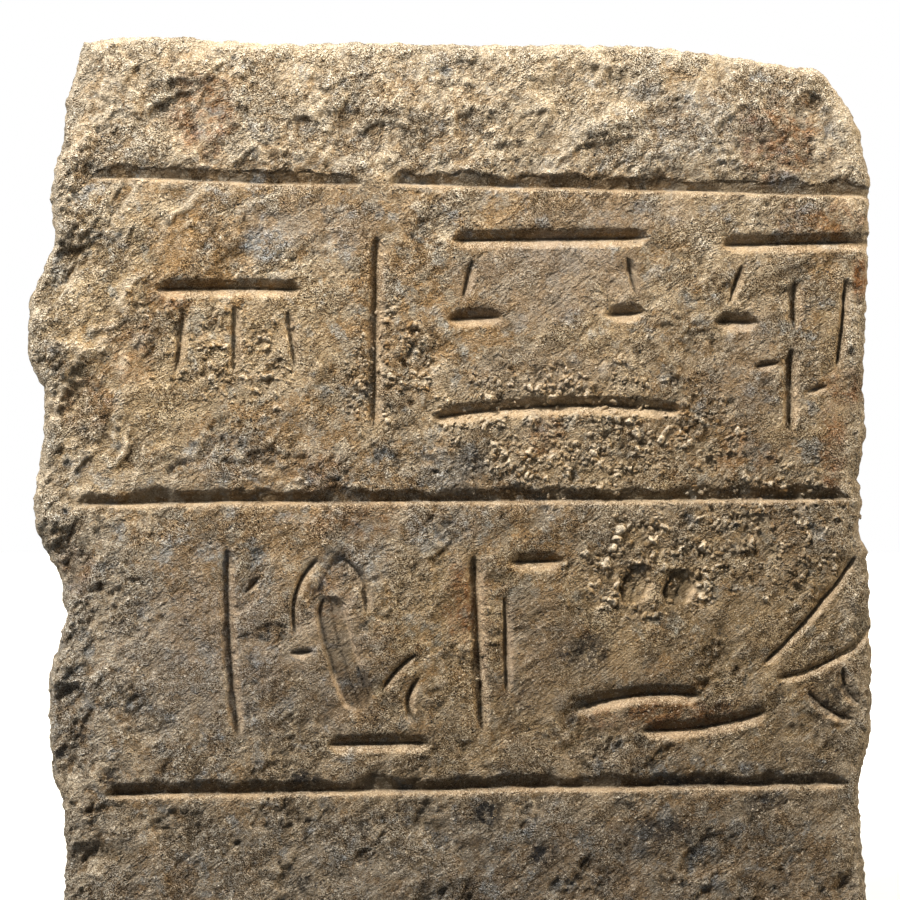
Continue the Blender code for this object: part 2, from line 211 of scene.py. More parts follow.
GREY_PATCHES = (
    (28.9, 76.3, 3.1, 2.0, 0.9), (22.1, 42.0, 3.1, 1.3, 0.9), (15.0, 25.4, 3.5, 2.5, 0.5),
    (72.6, 93.6, 2.6, 1.3, 0.6), (37.8, 76.4, 1.4, 2.2, 0.7), (49.2, 45.0, 5.2, 2.5, 0.5),
    (89.4, 83.5, 2.6, 1.1, 0.7), (64.3, 68.3, 1.7, 1.1, 0.6), (50.4, 51.4, 3.5, 2.5, 0.6),
    (79.7, 89.3, 8.3, 4.5, 0.35), (39.6, 41.1, 4.7, 2.7, 0.5), (24.2, 52.3, 4.7, 3.4, 0.45),
    (26.6, 36.6, 4.7, 4.5, 0.35), (63.2, 75.9, 7.1, 1.6, 0.3), (16.0, 30.0, 20.0, 14.0, 0.3),
    (48.0, 6.0, 46.0, 8.0, 0.3),
)
CRUST_PATCHES = (
    (24.8, 63.8, 8.9, 7.0, 0.6), (42.5, 63.0, 5.7, 7.4, 0.85), (63.8, 55.7, 16.5, 8.1, 1.0),
    (73.2, 40.6, 9.7, 6.7, 1.0), (88.0, 45.0, 9.9, 9.0, 0.75), (54.9, 32.1, 4.7, 5.6, 0.35),
    (14.8, 66.4, 5.9, 5.6, 0.35), (79.7, 55.7, 7.1, 5.6, 0.6), (63.2, 61.3, 7.1, 2.2, 0.8),
)
WARM_PATCHES = (
    (50.0, 66.0, 60.0, 13.0, 0.45), (14.0, 66.0, 20.0, 16.0, 0.8), (62.0, 33.0, 24.0, 13.0, 1.0),
    (82.0, 33.0, 26.0, 15.0, 1.0), (98.0, 60.0, 6.0, 30.0, 0.9), (52.0, 30.0, 14.0, 14.0, 0.8),
    (75.0, 54.0, 22.0, 8.0, 0.8),
)

# Places that were dressed smoother than the rest, given as the stains are.
SMOOTH_PATCHES = (
    (62.0, 72.3, 12.5, 5.5, 0.9), (61.0, 62.5, 9.0, 3.0, 0.6), (21.0, 31.0, 11.0, 8.0, 0.5),
    (60.5, 31.0, 4.5, 9.0, 0.8), (85.0, 62.0, 4.5, 8.0, 0.6), (37.0, 30.0, 6.0, 9.0, 0.6),
    (66.0, 28.5, 12.0, 2.5, 0.6), (33.0, 78.5, 10.0, 3.0, 0.5), (70.0, 79.5, 12.0, 2.0, 0.5),
)

# How far apart the charts' values and the uncut face's points are, in metres.
CHART_STEP = 0.0005
FACE_STEP = 0.0008

# Steps from the face to the back, the power that crowds them towards the face, and the face's columns for
# each column of the back.
DEPTH_STEPS, DEPTH_CROWDING = 30, 1.3
BACK_STRIDE = 4

# Powers by which the broken edges, their chips and the face's recess fade further into the block.
WOBBLE_FADE = 6
CHIP_FADE = 40
RECESS_FADE = 2

# Points along a straight stroke, a bowed one and a flake front, and the bow under which a stroke is straight.
STRAIGHT_STEPS, BOWED_STEPS, FRONT_STEPS = 2, 14, 10
STRAIGHT_BOW = 0.005

# How far round a stroke's path its section is worked out.
STROKE_REACH = 0.012

# A crumb's corners round it, its rings between the poles, and its least size and how much larger it can be.
LUMP_SIDES, LUMP_RINGS = 6, 3
CRUMB_SIZE, CRUMB_GROWTH = 0.00034, 0.00100

# The thinnest crust that counts, and how deep its back lies in the stone.
LEAST_CRUST, CRUST_ROOT = 0.00005, 0.0007

# The charts that every piece carries at its points for the material: stains, painted shade and highlight.
STAINS_AND_PAINTED_LIGHT = (
    "crust", "rust", "dark", "grey", "hollow", "pale", "soil", "cut", "lit", "rough", "warm", "smooth",
)

# Noise on the face: how far apart its bumps are, its seed, its layers, and how each finer one fades.
BROAD_NOISE = (0.045, 1, 3)
SCAR_EDGE_NOISE = (0.018, 5, 4)
CRUST_EDGE_NOISE = (0.009, 54, 3, 0.6)
RIDGE_NOISE = (0.0075, 28, 3, 0.6)
CRUMBLE_NOISE = (0.0032, 30, 2, 0.7)
SCRATCH_NOISE = (0.0036, 34, 2)
DRESSED_PATCH_NOISE = (0.032, 46, 2)
DRESSED_RIDGE_NOISE = (0.0085, 38, 3, 0.6)
WAVE_NOISE = (0.015, 40, 3)
DRESSED_CRUMBLE_NOISE = (0.0036, 44, 2, 0.7)

# How deep each kind of relief is, in metres, how steeply the scratches and waves climb, and the
# ledges, in degrees, and how many times as long as wide the ledges are.
LEDGE_DEPTH, RIDGE_DEPTH, CRUMBLE_DEPTH = 0.0020, 0.0006, 0.0006
SCRATCH_DEPTH, WAVE_DEPTH = 0.0003, 0.00055
DRESSED_LEDGE_DEPTH, DRESSED_RIDGE_DEPTH, DRESSED_CRUMBLE_DEPTH = 0.0009, 0.00035, 0.00034
CRUST_PIT_DEPTH, STRAY_PIT_DEPTH, CRUST_BED = 0.0014, 0.0007, 0.0002
SCRATCH_SLOPE, LEDGE_SLOPE, LEDGE_STRETCH = 38, 48, 1.9

# What the warm patches, the smooth places and the painted shade in hollows and cuts are multiplied by.
WARMING = (1.03, 0.95, 0.79)
DULLING = (0.85, 0.86, 0.92)
HOLLOW_SHADE = (0.28, 0.29, 0.30)

# The far lamps: name, which power, how each is turned in degrees, how wide it looks in degrees, and its tint.
SUNS = (
    ("key", "key_power", (36, 0, -44), 4, (1.0, 0.97, 0.92)),
    ("back_light", "back_power", (-42, 0, -35), 20, (1.0, 0.98, 0.96)),
    ("left_edge_light", "left_power", (68, 0, -77), 12, (1.0, 0.96, 0.90)),
    ("right_edge_light", "right_power", (68, 0, 82), 12, (1.0, 0.84, 0.60)),
)

# The floor's half width in metres and its glow, the tint of the light all round, and the camera's shift to
# the right in metres.
FLOOR_HALF, FLOOR_GLOW = 4.0, 0.2
WHITE, SKY_TINT = (1.0, 1.0, 1.0, 1.0), (0.90, 0.95, 1.0, 1.0)
CAMERA_ASIDE = 0.0007

# Powers of the grains' shade in red, green and blue, which make dark grains brown.
GRAIN_TINT_POWERS = (0.88, 1.0, 1.16)

drawn_charts = {}


def length(name, description, default):
    """A setting that is a length in metres."""
    return FloatProperty(name=name, description=description, default=default, unit="LENGTH", precision=4)


def share(name, description, default):
    """A setting that is a plain number."""
    return FloatProperty(name=name, description=description, default=default, precision=3)


def colour(name, description, default):
    """A setting that is a colour."""
    return FloatVectorProperty(
        name=name, description=description, default=default, subtype="COLOR", min=0, max=1
    )


class ReliefBlockSettings(bpy.types.PropertyGroup):
    """How big the block is, and how much of it the breaks and the weather have taken."""

    width: length("Width", "Widest measure across the face", BLOCK_HIGH.x - BLOCK_LOW.x)
    height: length("Height", "From the underside to the highest point", BLOCK_HIGH.z - BLOCK_LOW.z)
    thickness: length("Thickness", "From the face to the flat back", BLOCK_HIGH.y - BLOCK_LOW.y)
    left_break: length("Left break", "Most that is gone from the left side", 0.025)
    right_break: length("Right break", "Most that is gone from the right side", 0.027)
    top_break: length("Top break", "Most that is gone from the top", 0.015)
    side_lean: length("Side lean", "How far the sides draw in towards the back", 0.006)
    side_scars: length("Side scars", "Depth of the scars on the broken sides", 0.0045)
    face_scars: length("Face scars", "Depth of the scars in the rough band", 0.0022)
    crust_height: length("Crust height", "How far the crust stands on the face", 0.0022)
    triangles: IntProperty(name="Triangles", description="Most triangles in the stone", default=192000)
    crumbs: IntProperty(name="Crumbs", description="Number of loose crumbs of crust", default=3600)


class ReliefFinishSettings(bpy.types.PropertyGroup):
    """Colours of the stone, its stains, its painted highlight and its soil with painted falloff shade, and
    the size of its grains.
    """

    warm_stone: colour("Warm stone", "Clean stone, sandy", (0.46, 0.345, 0.215))
    cool_stone: colour("Cool stone", "Clean stone, greyer", (0.37, 0.305, 0.225))
    # Also the painted highlight on rims, crests and the rough band, besides their wear.
    pale_stone: colour("Pale stone", "Rubbed rims and edges", (0.72, 0.60, 0.44))
    ochre: colour("Ochre", "Iron-tinged patches", (0.36, 0.22, 0.095))
    brown: colour("Brown", "Streaks of soil", (0.20, 0.135, 0.07))
    grey_stain: colour("Grey stain", "Blue-grey patches", (0.36, 0.36, 0.345))
    rust_stain: colour("Rust stain", "Iron stains", (0.27, 0.115, 0.038))
    dark_stain: colour("Dark stain", "Soot and lichen", (0.035, 0.032, 0.032))
    # Painted highlight on the lit walls of the cuts.
    lit_wall_highlight: colour("Cut stone", "Lit walls of the cuts", (0.50, 0.375, 0.245))
    # Partly soil, partly painted falloff of the light, darker towards the bottom and the right.
    soil: colour("Soil", "What the lower part is darkened by", (0.455, 0.45, 0.445))
    grain_size: length("Grain size", "Size of a grain of sand in the stone", 0.0010)
    grain_relief: length("Grain relief", "How far the grains stand out", 0.0009)


class ReliefStudioSettings(bpy.types.PropertyGroup):
    """Camera and light."""

    lens: share("Lens", "Focal length in millimetres", 100.0)
    view_width: length("View width", "Width of what the camera sees at the outline", 0.4038)
    outline_depth: length("Outline depth", "How far behind the face the outline lies", 0.009)
    view_height: length("View height", "Height of the middle of the view", 0.2138)
    key_power: share("Key power", "Strength of the light from above", 4.5)
    top_power: share("Top power", "Watts of the lamp over the top edge", 2.1)
    back_power: share("Back power", "Strength of the light behind", 2.3)
    left_power: share("Left power", "Strength of the light that grazes the left side", 1.3)
    right_power: share("Right power", "Strength of the light that grazes the right side", 3.8)
    ambient: share("Ambient", "Strength of the light from all round", 0.15)
    floor_colour: colour("Floor", "Pale floor", (0.86, 0.85, 0.83))


def hashed(cells, seed):
    """A number from 0 to 1 for each whole-number place, which looks random and is the same each time.

    The place's numbers are multiplied by large odd numbers and added, and the sum's bits are folded onto
    each other.
    """
    mixed = np.full(np.shape(cells[0]), (seed * 2654435761 + 977) % 2**32, np.uint32)
    for cell, factor in zip(cells, (374761393, 668265263, 1442695041)):
        mixed += np.asarray(cell, np.int64).astype(np.uint32) * np.uint32(factor)
    mixed = (mixed ^ (mixed >> np.uint32(13))) * np.uint32(1274126177)
    mixed = (mixed ^ (mixed >> np.uint32(15))) * np.uint32(2246822519)
    mixed ^= mixed >> np.uint32(16)
    return (mixed & np.uint32(0xFFFFFF)).astype(np.float32) / np.float32(0xFFFFFF)


def smooth_noise(places, size, seed):
    """Smooth noise from about -1 to 1 whose bumps are about this size apart.

    Every corner of a square lattice has a hashed slope. A place adds up each nearby corner's slope times the
    way from it, weighted by 6t^5 - 15t^4 + 10t^3 along each direction.
    """
    cells = [np.floor(place / size) for place in places]
    parts = [np.float32(place / size - cell) for place, cell in zip(places, cells)]
    blends = [part**3 * (part * (part * 6 - 15) + 10) for part in parts]
    total = np.zeros(parts[0].shape, np.float32)
    for corner in itertools.product((0, 1), repeat=len(places)):
        there = [cell + step for cell, step in zip(cells, corner)]
        weight, rise = np.float32(1.0), np.float32(0.0)
        for axis, step in enumerate(corner):
            weight = weight * (blends[axis] if step else 1 - blends[axis])
            rise = rise + (hashed(there, seed + 31 * axis) * 2 - 1) * (parts[axis] - step)
        total += weight * rise
    return total * np.float32(1.7)


def layered_noise(places, size, seed, layers=3, fading=0.5):
    """Smooth noise with finer noise laid on it: each layer is half as long and fading times as strong."""
    return sum(fading**n * smooth_noise(places, size / 2**n, seed + 101 * n) for n in range(layers))


def scallops(places, spacing, seed):
    """Shallow scars that cut into each other, from 0 on the ridges between them up to 1.

    Each square cell holds one scar with a hashed middle, radius and depth. A scar is its depth times 1 less
    the square of the distance over the radius, and where scars overlap the deeper one counts.
    """
    across, up = places[0] / spacing, places[1] / spacing
    column, row = np.floor(across), np.floor(up)
    deepest = np.zeros(across.shape, np.float32)
    for step in itertools.product((-1, 0, 1), repeat=2):
        cell = (column + step[0], row + step[1])
        middle_x = cell[0] + hashed(cell, seed)
        middle_z = cell[1] + hashed(cell, seed + 1)
        radius = 0.55 + 0.55 * hashed(cell, seed + 2)
        depth = 0.35 + 0.65 * hashed(cell, seed + 3)
        reach = ((across - middle_x) ** 2 + (up - middle_z) ** 2) / radius**2
        deepest = np.maximum(deepest, depth * (1 - reach))
    return deepest


def scattered_domes(places, spacing, seed, kept):
    """Round domes, from 0 to 1, one in each square cell that is kept, with a hashed middle and radius.

    A dome is the square root of 1 less the square of the distance over its radius.
    """
    across, up = places[0] / spacing, places[1] / spacing
    column, row = np.floor(across), np.floor(up)
    highest = np.zeros(across.shape, np.float32)
    for step in itertools.product((-1, 0, 1), repeat=2):
        cell = (column + step[0], row + step[1])
        middle_x = cell[0] + hashed(cell, seed)
        middle_z = cell[1] + hashed(cell, seed + 1)
        radius = 0.20 + 0.30 * hashed(cell, seed + 2)
        reach = ((across - middle_x) ** 2 + (up - middle_z) ** 2) / radius**2
        dome = np.sqrt(np.clip(1 - reach, 0, 1)) * radius * 2
        highest = np.maximum(highest, np.where(hashed(cell, seed + 3) < kept, dome, 0))
    return highest


def eased(value, low, high):
    """0 below low, 1 above high, and 3t^2 - 2t^3 between them."""
    t = np.clip((value - low) / (high - low), 0, 1)
    return t * t * (3 - 2 * t)


def fall(distance, depth, run):
    """How far a surface has dropped at a distance d from an edge, where it drops by depth (1 - d / run)^2."""
    return depth * np.clip(1 - distance / run, 0, 1) ** 2


def edge_share(table, place):
    """A broken edge's table read at these places, by straight lines between its pairs."""
    return np.interp(place, [pair[0] for pair in table], [pair[1] for pair in table])


def block_edges(x, z, block):
    """The left side's x, the right side's x and the top's z at each place."""
    left = -block.width / 2 + block.left_break * edge_share(LEFT_EDGE, z / block.height)
    right = block.width / 2 - block.right_break * edge_share(RIGHT_EDGE, z / block.height)
    top = block.height - block.top_break * edge_share(TOP_EDGE, x / block.width + 0.5)
    return left, right, top


def chart_places(block):
    """x and z on a regular grid of places over the face, with rows going up and columns going across."""
    across = np.linspace(-block.width / 2, block.width / 2, round(block.width / CHART_STEP) + 1)
    up = np.linspace(0, block.height, round(block.height / CHART_STEP) + 1)
    return np.meshgrid(across, up)


def chart_value(chart, x, z, block):
    """A chart read at any places: the mean of its four nearest values, weighted by how near they are."""
    rows, columns = chart.shape
    across = np.clip((x / block.width + 0.5) * (columns - 1), 0, columns - 1.001)
    up = np.clip(z / block.height * (rows - 1), 0, rows - 1.001)
    column, row = across.astype(int), up.astype(int)
    right, above = across - column, up - row
    lower = chart[row, column] * (1 - right) + chart[row, column + 1] * right
    upper = chart[row + 1, column] * (1 - right) + chart[row + 1, column + 1] * right
    return lower * (1 - above) + upper * above


def blurred(chart, spread):
    """The chart smoothed by a bell curve of this spread: waves fade as e^(-2 (pi spread / wavelength)^2)."""
    margin = math.ceil(4 * spread / CHART_STEP)
    padded = np.pad(chart, margin, mode="edge")
    up = np.fft.fftfreq(padded.shape[0], CHART_STEP)[:, None]
    across = np.fft.rfftfreq(padded.shape[1], CHART_STEP)[None, :]
    waves = np.fft.rfft2(padded) * np.exp(-2 * (math.pi * spread) ** 2 * (up**2 + across**2))
    return np.fft.irfft2(waves, padded.shape)[margin:-margin, margin:-margin]


def patch_mask(patches, x, z, block, seed):
    """How strongly patches lie on each place, from 0 to 1.

    A patch is full where the square of the distance over its half size, pushed up and down by noise, is well
    under 1, and it is gone where that is over 1.
    """
    across, up = (x / block.width + 0.5) * 100, z / block.height * 100
    ragged = 0.6 * layered_noise((x, z), 0.012, seed, 4, 0.6)
    mask = np.zeros(x.shape)
    for middle_x, middle_z, half_wide, half_high, strength in patches:
        reach = ((across - middle_x) / half_wide) ** 2 + ((up - middle_z) / half_high) ** 2
        mask = np.maximum(mask, strength * eased(1.2 - reach + ragged, 0, 0.9))
    return mask


def line_height(x, ends, block, seed):
    """The height of a ruled line at each x: a straight line with a slight waver."""
    x0, z0, x1, z1 = ends
    along = ((x / block.width + 0.5) * 100 - x0) / (x1 - x0)
    height = (z0 + (z1 - z0) * along) / 100 * block.height
    return height + 0.0008 * smooth_noise((x, x * 0), 0.060, seed), along * (x1 - x0) / 100 * block.width


def ruled_lines(x, z, block):
    """Depth of the ruled lines at each place, and how much it belongs to a valley and to a lit wall.

    A line's section is a V with a broad wall above and a steep one below. Its depth fades at both ends, and
    its broad wall is wider in some stretches than in others.
    """
    depth, valley, lit = np.zeros(x.shape), np.zeros(x.shape), np.zeros(x.shape)
    for number, ends in enumerate(RULED_LINES):
        middle, along = line_height(x, ends, block, 900 + number)
        whole = (ends[2] - ends[0]) / 100 * block.width
        strength = eased(along, 0, LINE_FADE) * eased(whole - along, 0, LINE_FADE)
        strength *= 1 + 0.22 * smooth_noise((x, x * 0), 0.028, 910 + number)
        chips = 0.0009 * layered_noise((x, z), 0.007, 920 + number)
        width = np.clip(1 + 0.6 * layered_noise((x, x * 0), 0.020, 930 + number, 2), 0.65, 1.5)
        above = LINE_SHADED_WALL * strength * width + chips
        wall = np.where(z > middle, np.maximum(above, 0.0004), LINE_LIT_WALL)
        share_left = 1 - np.abs(z - middle) / wall
        depth = np.maximum(depth, LINE_DEPTH * strength * np.clip(share_left, 0, 1))
        valley = np.maximum(valley, strength * np.clip(1 - np.abs(z - middle - 0.0002) / 0.0008, 0, 1))
        below = middle - z
        lit = np.maximum(lit, strength * eased(below, 0, 0.0005) * eased(below, 0.0036, 0.0016))
    return depth, valley, lit


def stroke_path(x0, z0, x1, z1, bow, block, steps):
    """Points along a stroke: start + way t, pushed aside by bow 4t (1 - t) times the way turned a quarter."""
    start = np.array([(x0 / 100 - 0.5) * block.width, z0 / 100 * block.height])
    end = np.array([(x1 / 100 - 0.5) * block.width, z1 / 100 * block.height])
    way = end - start
    t = np.linspace(0, 1, steps + 1)[:, None]
    aside = np.array([-way[1], way[0]])
    return start + way * t + aside * bow * 4 * t * (1 - t)


def nearest_on(path, x, z):
    """The nearest point to each place on a path of straight pieces.

    On a piece it is t = (way off . piece) / length^2 of the way along, kept from 0 to 1. Gives the distance
    to it, how far along the path it is, the way from it across and up, the way off crossed with the piece,
    which is over 0 on the right of someone who goes along the path, and the path's length.
    """
    pieces = np.diff(path, axis=0)
    lengths = np.hypot(*pieces.T)
    starts = np.concatenate([[0], np.cumsum(lengths)])
    nearest = np.full(x.shape, np.inf)
    found = [nearest, *np.zeros((4, *x.shape))]
    for start, piece, piece_length, run in zip(path, pieces, lengths, starts):
        off_x, off_z = x - start[0], z - start[1]
        t = np.clip((off_x * piece[0] + off_z * piece[1]) / piece_length**2, 0, 1)
        away_x, away_z = off_x - piece[0] * t, off_z - piece[1] * t
        away = np.hypot(away_x, away_z)
        crossed = off_x * piece[1] - off_z * piece[0]
        closer = away < nearest
        for kept, value in zip(found, (away, run + t * piece_length, away_x, away_z, crossed)):
            np.copyto(kept, value, where=closer)
    return *found, starts[-1]


def stroke_depth(x, z, kind, ends, block):
    """Depth of one stroke at each place, and how much that belongs to a valley and to a lit wall.

    The nearest point of the stroke's path gives the distance and the side. The section is a V, or a trough,
    whose two walls have their own widths, and it shrinks to nothing at the tips.
    """
    shaded_wall, lit_wall, half_floor, deep = CUT_WALLS[kind]
    path = stroke_path(*ends, block, STRAIGHT_STEPS if abs(ends[4]) < STRAIGHT_BOW else BOWED_STEPS)
    nearest, along, away_x, away_z, _, whole = nearest_on(path, x, z)
    side = away_z - 0.35 * away_x
    ragged = 0.00045 * layered_noise((x, z), 0.005, 77, 2)
    tip = np.sqrt(np.clip(np.minimum(along, whole - along) / TIP_RUN, 0, 1))
    wall = np.where(side > 0, shaded_wall, lit_wall) * tip + 1e-6
    left = 1 - (nearest + ragged - half_floor * tip) / wall
    depth = deep * tip * np.clip(0.5 * (left + np.sqrt(left**2 + 0.002)), 0, 1)
    off_valley = np.abs(nearest - half_floor * tip * (side > 0))
    depth += SLIT_DEPTH * tip * np.clip(1 - off_valley / SLIT_HALF_WIDTH, 0, 1)
    valley = tip * eased(off_valley, 0.0012, 0.0004)
    lit = tip * (side < 0) * eased(left, 0.0, 0.15) * eased(left, 1.0, 0.85)
    return depth, valley, lit


def strokes(x, z, block):
    """Depth, valleys and lit walls of all strokes, each worked out only in the rows and columns round it."""
    charts = np.zeros((3, *x.shape))
    for kind, *ends in STROKES:
        path = stroke_path(*ends, block, BOWED_STEPS)
        (low_x, low_z), (high_x, high_z) = path.min(0) - STROKE_REACH, path.max(0) + STROKE_REACH
        columns = slice(*np.searchsorted(x[0], (low_x, high_x)))
        rows = slice(*np.searchsorted(z[:, 0], (low_z, high_z)))
        made = stroke_depth(x[rows, columns], z[rows, columns], kind, ends, block)
        charts[:, rows, columns] = np.maximum(charts[:, rows, columns], made)
    return charts


def along_slope(places, degrees):
    """The places measured along a slope of so many degrees and square to it."""
    slope = math.radians(degrees)
    along = places[0] * math.cos(slope) + places[1] * math.sin(slope)
    return along, places[1] * math.cos(slope) - places[0] * math.sin(slope)


def terraces(places, size, seed, steps=2.4, riser=0.22):
    """Level patches joined by steep ragged fronts, from about -1 to 1, drawn out up to the right.

    Layered noise is multiplied by the number of steps, and of each whole step only its last part rises.
    """
    along, across = along_slope(places, LEDGE_SLOPE)
    level = layered_noise((along / LEDGE_STRETCH, across), size, seed, 5, 0.52) * steps
    whole = np.floor(level)
    return (whole + eased(level - whole, 1 - riser, 1)) / steps


def flake_fronts(x, z, block):
    """How much deeper the face lies on the lower side of each flake front.

    The step is e^(-distance / run) of its full depth beyond the front, rises within a millimetre there, and
    fades towards both ends. The second chart is the crest on its upper side, e^-(distance / width)^2, which
    is painted lighter as a highlight.
    """
    depth, crests = np.zeros(x.shape), np.zeros(x.shape)
    bent_x = x + 0.0011 * layered_noise((x, z), 0.008, 95, 3, 0.6)
    bent_z = z + 0.0011 * layered_noise((x, z), 0.008, 96, 3, 0.6)
    for x0, z0, x1, z1, bow, step in FLAKE_FRONTS:
        path = stroke_path(x0, z0, x1, z1, bow, block, FRONT_STEPS)
        nearest, along, _, _, side, whole = nearest_on(path, bent_x, bent_z)
        ends = np.sqrt(np.clip(np.minimum(along, whole - along) / (0.3 * whole), 0, 1))
        lower = np.exp(-nearest / FRONT_RUN) * eased(nearest, 0, 0.0007)
        raised = -0.45 * np.exp(-nearest / FRONT_RUN * 3)
        depth += step * ends * np.where(side > 0, lower, raised)
        crests = np.maximum(crests, ends * (side <= 0) * np.exp(-((nearest / CREST_WIDTH) ** 2)))
    return depth, crests


def edge_falls(x, z, edges, block):
    """How far the face has dropped towards its broken edges and in its flake scars.

    A scar is its depth times 1 less the cube of the distance over its half size, which noise makes ragged.
    """
    left, right, top = edges
    recess = fall(np.maximum(x - left, 0), LEFT_FALL, LEFT_FALL_RUN)
    recess += fall(np.maximum(right - x, 0), RIGHT_FALL, RIGHT_FALL_RUN)
    recess += fall(np.maximum(top - z, 0), TOP_FALL, TOP_FALL_RUN)
    wander = 1 + 0.22 * layered_noise((x, z), *SCAR_EDGE_NOISE)
    for scar_x, scar_z, half_wide, half_high, depth in FLAKE_SCARS:
        across, up = x / block.width + 0.5 - scar_x, z / block.height - scar_z
        reach = np.hypot(across / half_wide, up / half_high)
        recess += depth * np.clip(1 - (reach * wander) ** 3, 0, 1)
    return recess


def flaked_ground(x, z, block):
    """Relief of the rough band and the broken margins: scars of two sizes, ledges, ridges and crumble."""
    places = (x, z)
    warped = (x + 0.004 * smooth_noise(places, 0.015, 11), z + 0.004 * smooth_noise(places, 0.015, 12))
    flaked = block.face_scars * scallops(warped, 0.026, 20)
    flaked += 0.45 * block.face_scars * scallops(warped, 0.011, 24)
    flaked -= LEDGE_DEPTH * terraces(warped, 0.026, 26)
    flaked += RIDGE_DEPTH * np.abs(layered_noise(places, *RIDGE_NOISE))
    flaked += CRUMBLE_DEPTH * layered_noise(places, *CRUMBLE_NOISE)
    return flaked


def dressed_ground(x, z, smooth, crust, block):
    """Relief of the dressed field: (scratches, low ledges and ridges; the waves and crumble under all).

    Scratches and waves run up to the right, and the scratches are stronger lower down. Ledges and ridges come
    and go in patches, fade towards the upper right, and are fainter in smooth places and under the crust.
    """
    places = (x, z)
    slant = along_slope(places, SCRATCH_SLOPE)
    scratched = SCRATCH_DEPTH * layered_noise((slant[0] / 5, slant[1]), *SCRATCH_NOISE)
    scratched *= eased(z / block.height, 0.55, 0.30) * 0.8 + 0.2
    patchy = 0.45 + 1.3 * eased(layered_noise(places, *DRESSED_PATCH_NOISE), -0.25, 0.45)
    lively = np.clip(1.25 - 0.9 * (z / block.height - 0.4) - 0.4 * x / block.width, 0.7, 1.4)
    lively *= 1 - 0.75 * smooth
    dressed = scratched - DRESSED_LEDGE_DEPTH * lively * patchy * terraces(places, 0.022, 36, 2.0, 0.25)
    dressed *= 1 - 0.4 * crust
    dressed += DRESSED_RIDGE_DEPTH * lively * patchy * np.abs(layered_noise(places, *DRESSED_RIDGE_NOISE))
    uneven = WAVE_DEPTH * layered_noise((slant[0] / 1.6, slant[1]), *WAVE_NOISE)
    uneven += DRESSED_CRUMBLE_DEPTH * patchy * layered_noise(places, *DRESSED_CRUMBLE_NOISE)
    uneven *= 1 - 0.5 * smooth
    return dressed, uneven


def crust_growth(x, z):
    """How the crust swells, from about 0 to over 1, with its ridges and its pits, each from 0 to 1.

    A ridge runs where noise passes through 0. The swelling adds up ridges, round domes and fine noise.
    """
    places = (x, z)
    bent = (x + 0.0016 * smooth_noise(places, 0.004, 60), z + 0.0016 * smooth_noise(places, 0.004, 61))
    ridges = np.clip(1 - 2.8 * np.abs(smooth_noise(bent, 0.0048, 62)), 0, 1)
    domes = scattered_domes(bent, 0.0048, 66, 0.6)
    pits = scattered_domes(bent, 0.0056, 70, 0.42)
    swelling = 0.02 + 0.50 * ridges * (1 + smooth_noise(places, 0.006, 63)) + 1.25 * domes
    swelling += 0.25 * layered_noise(places, 0.0018, 64, 2)
    return swelling, ridges, pits


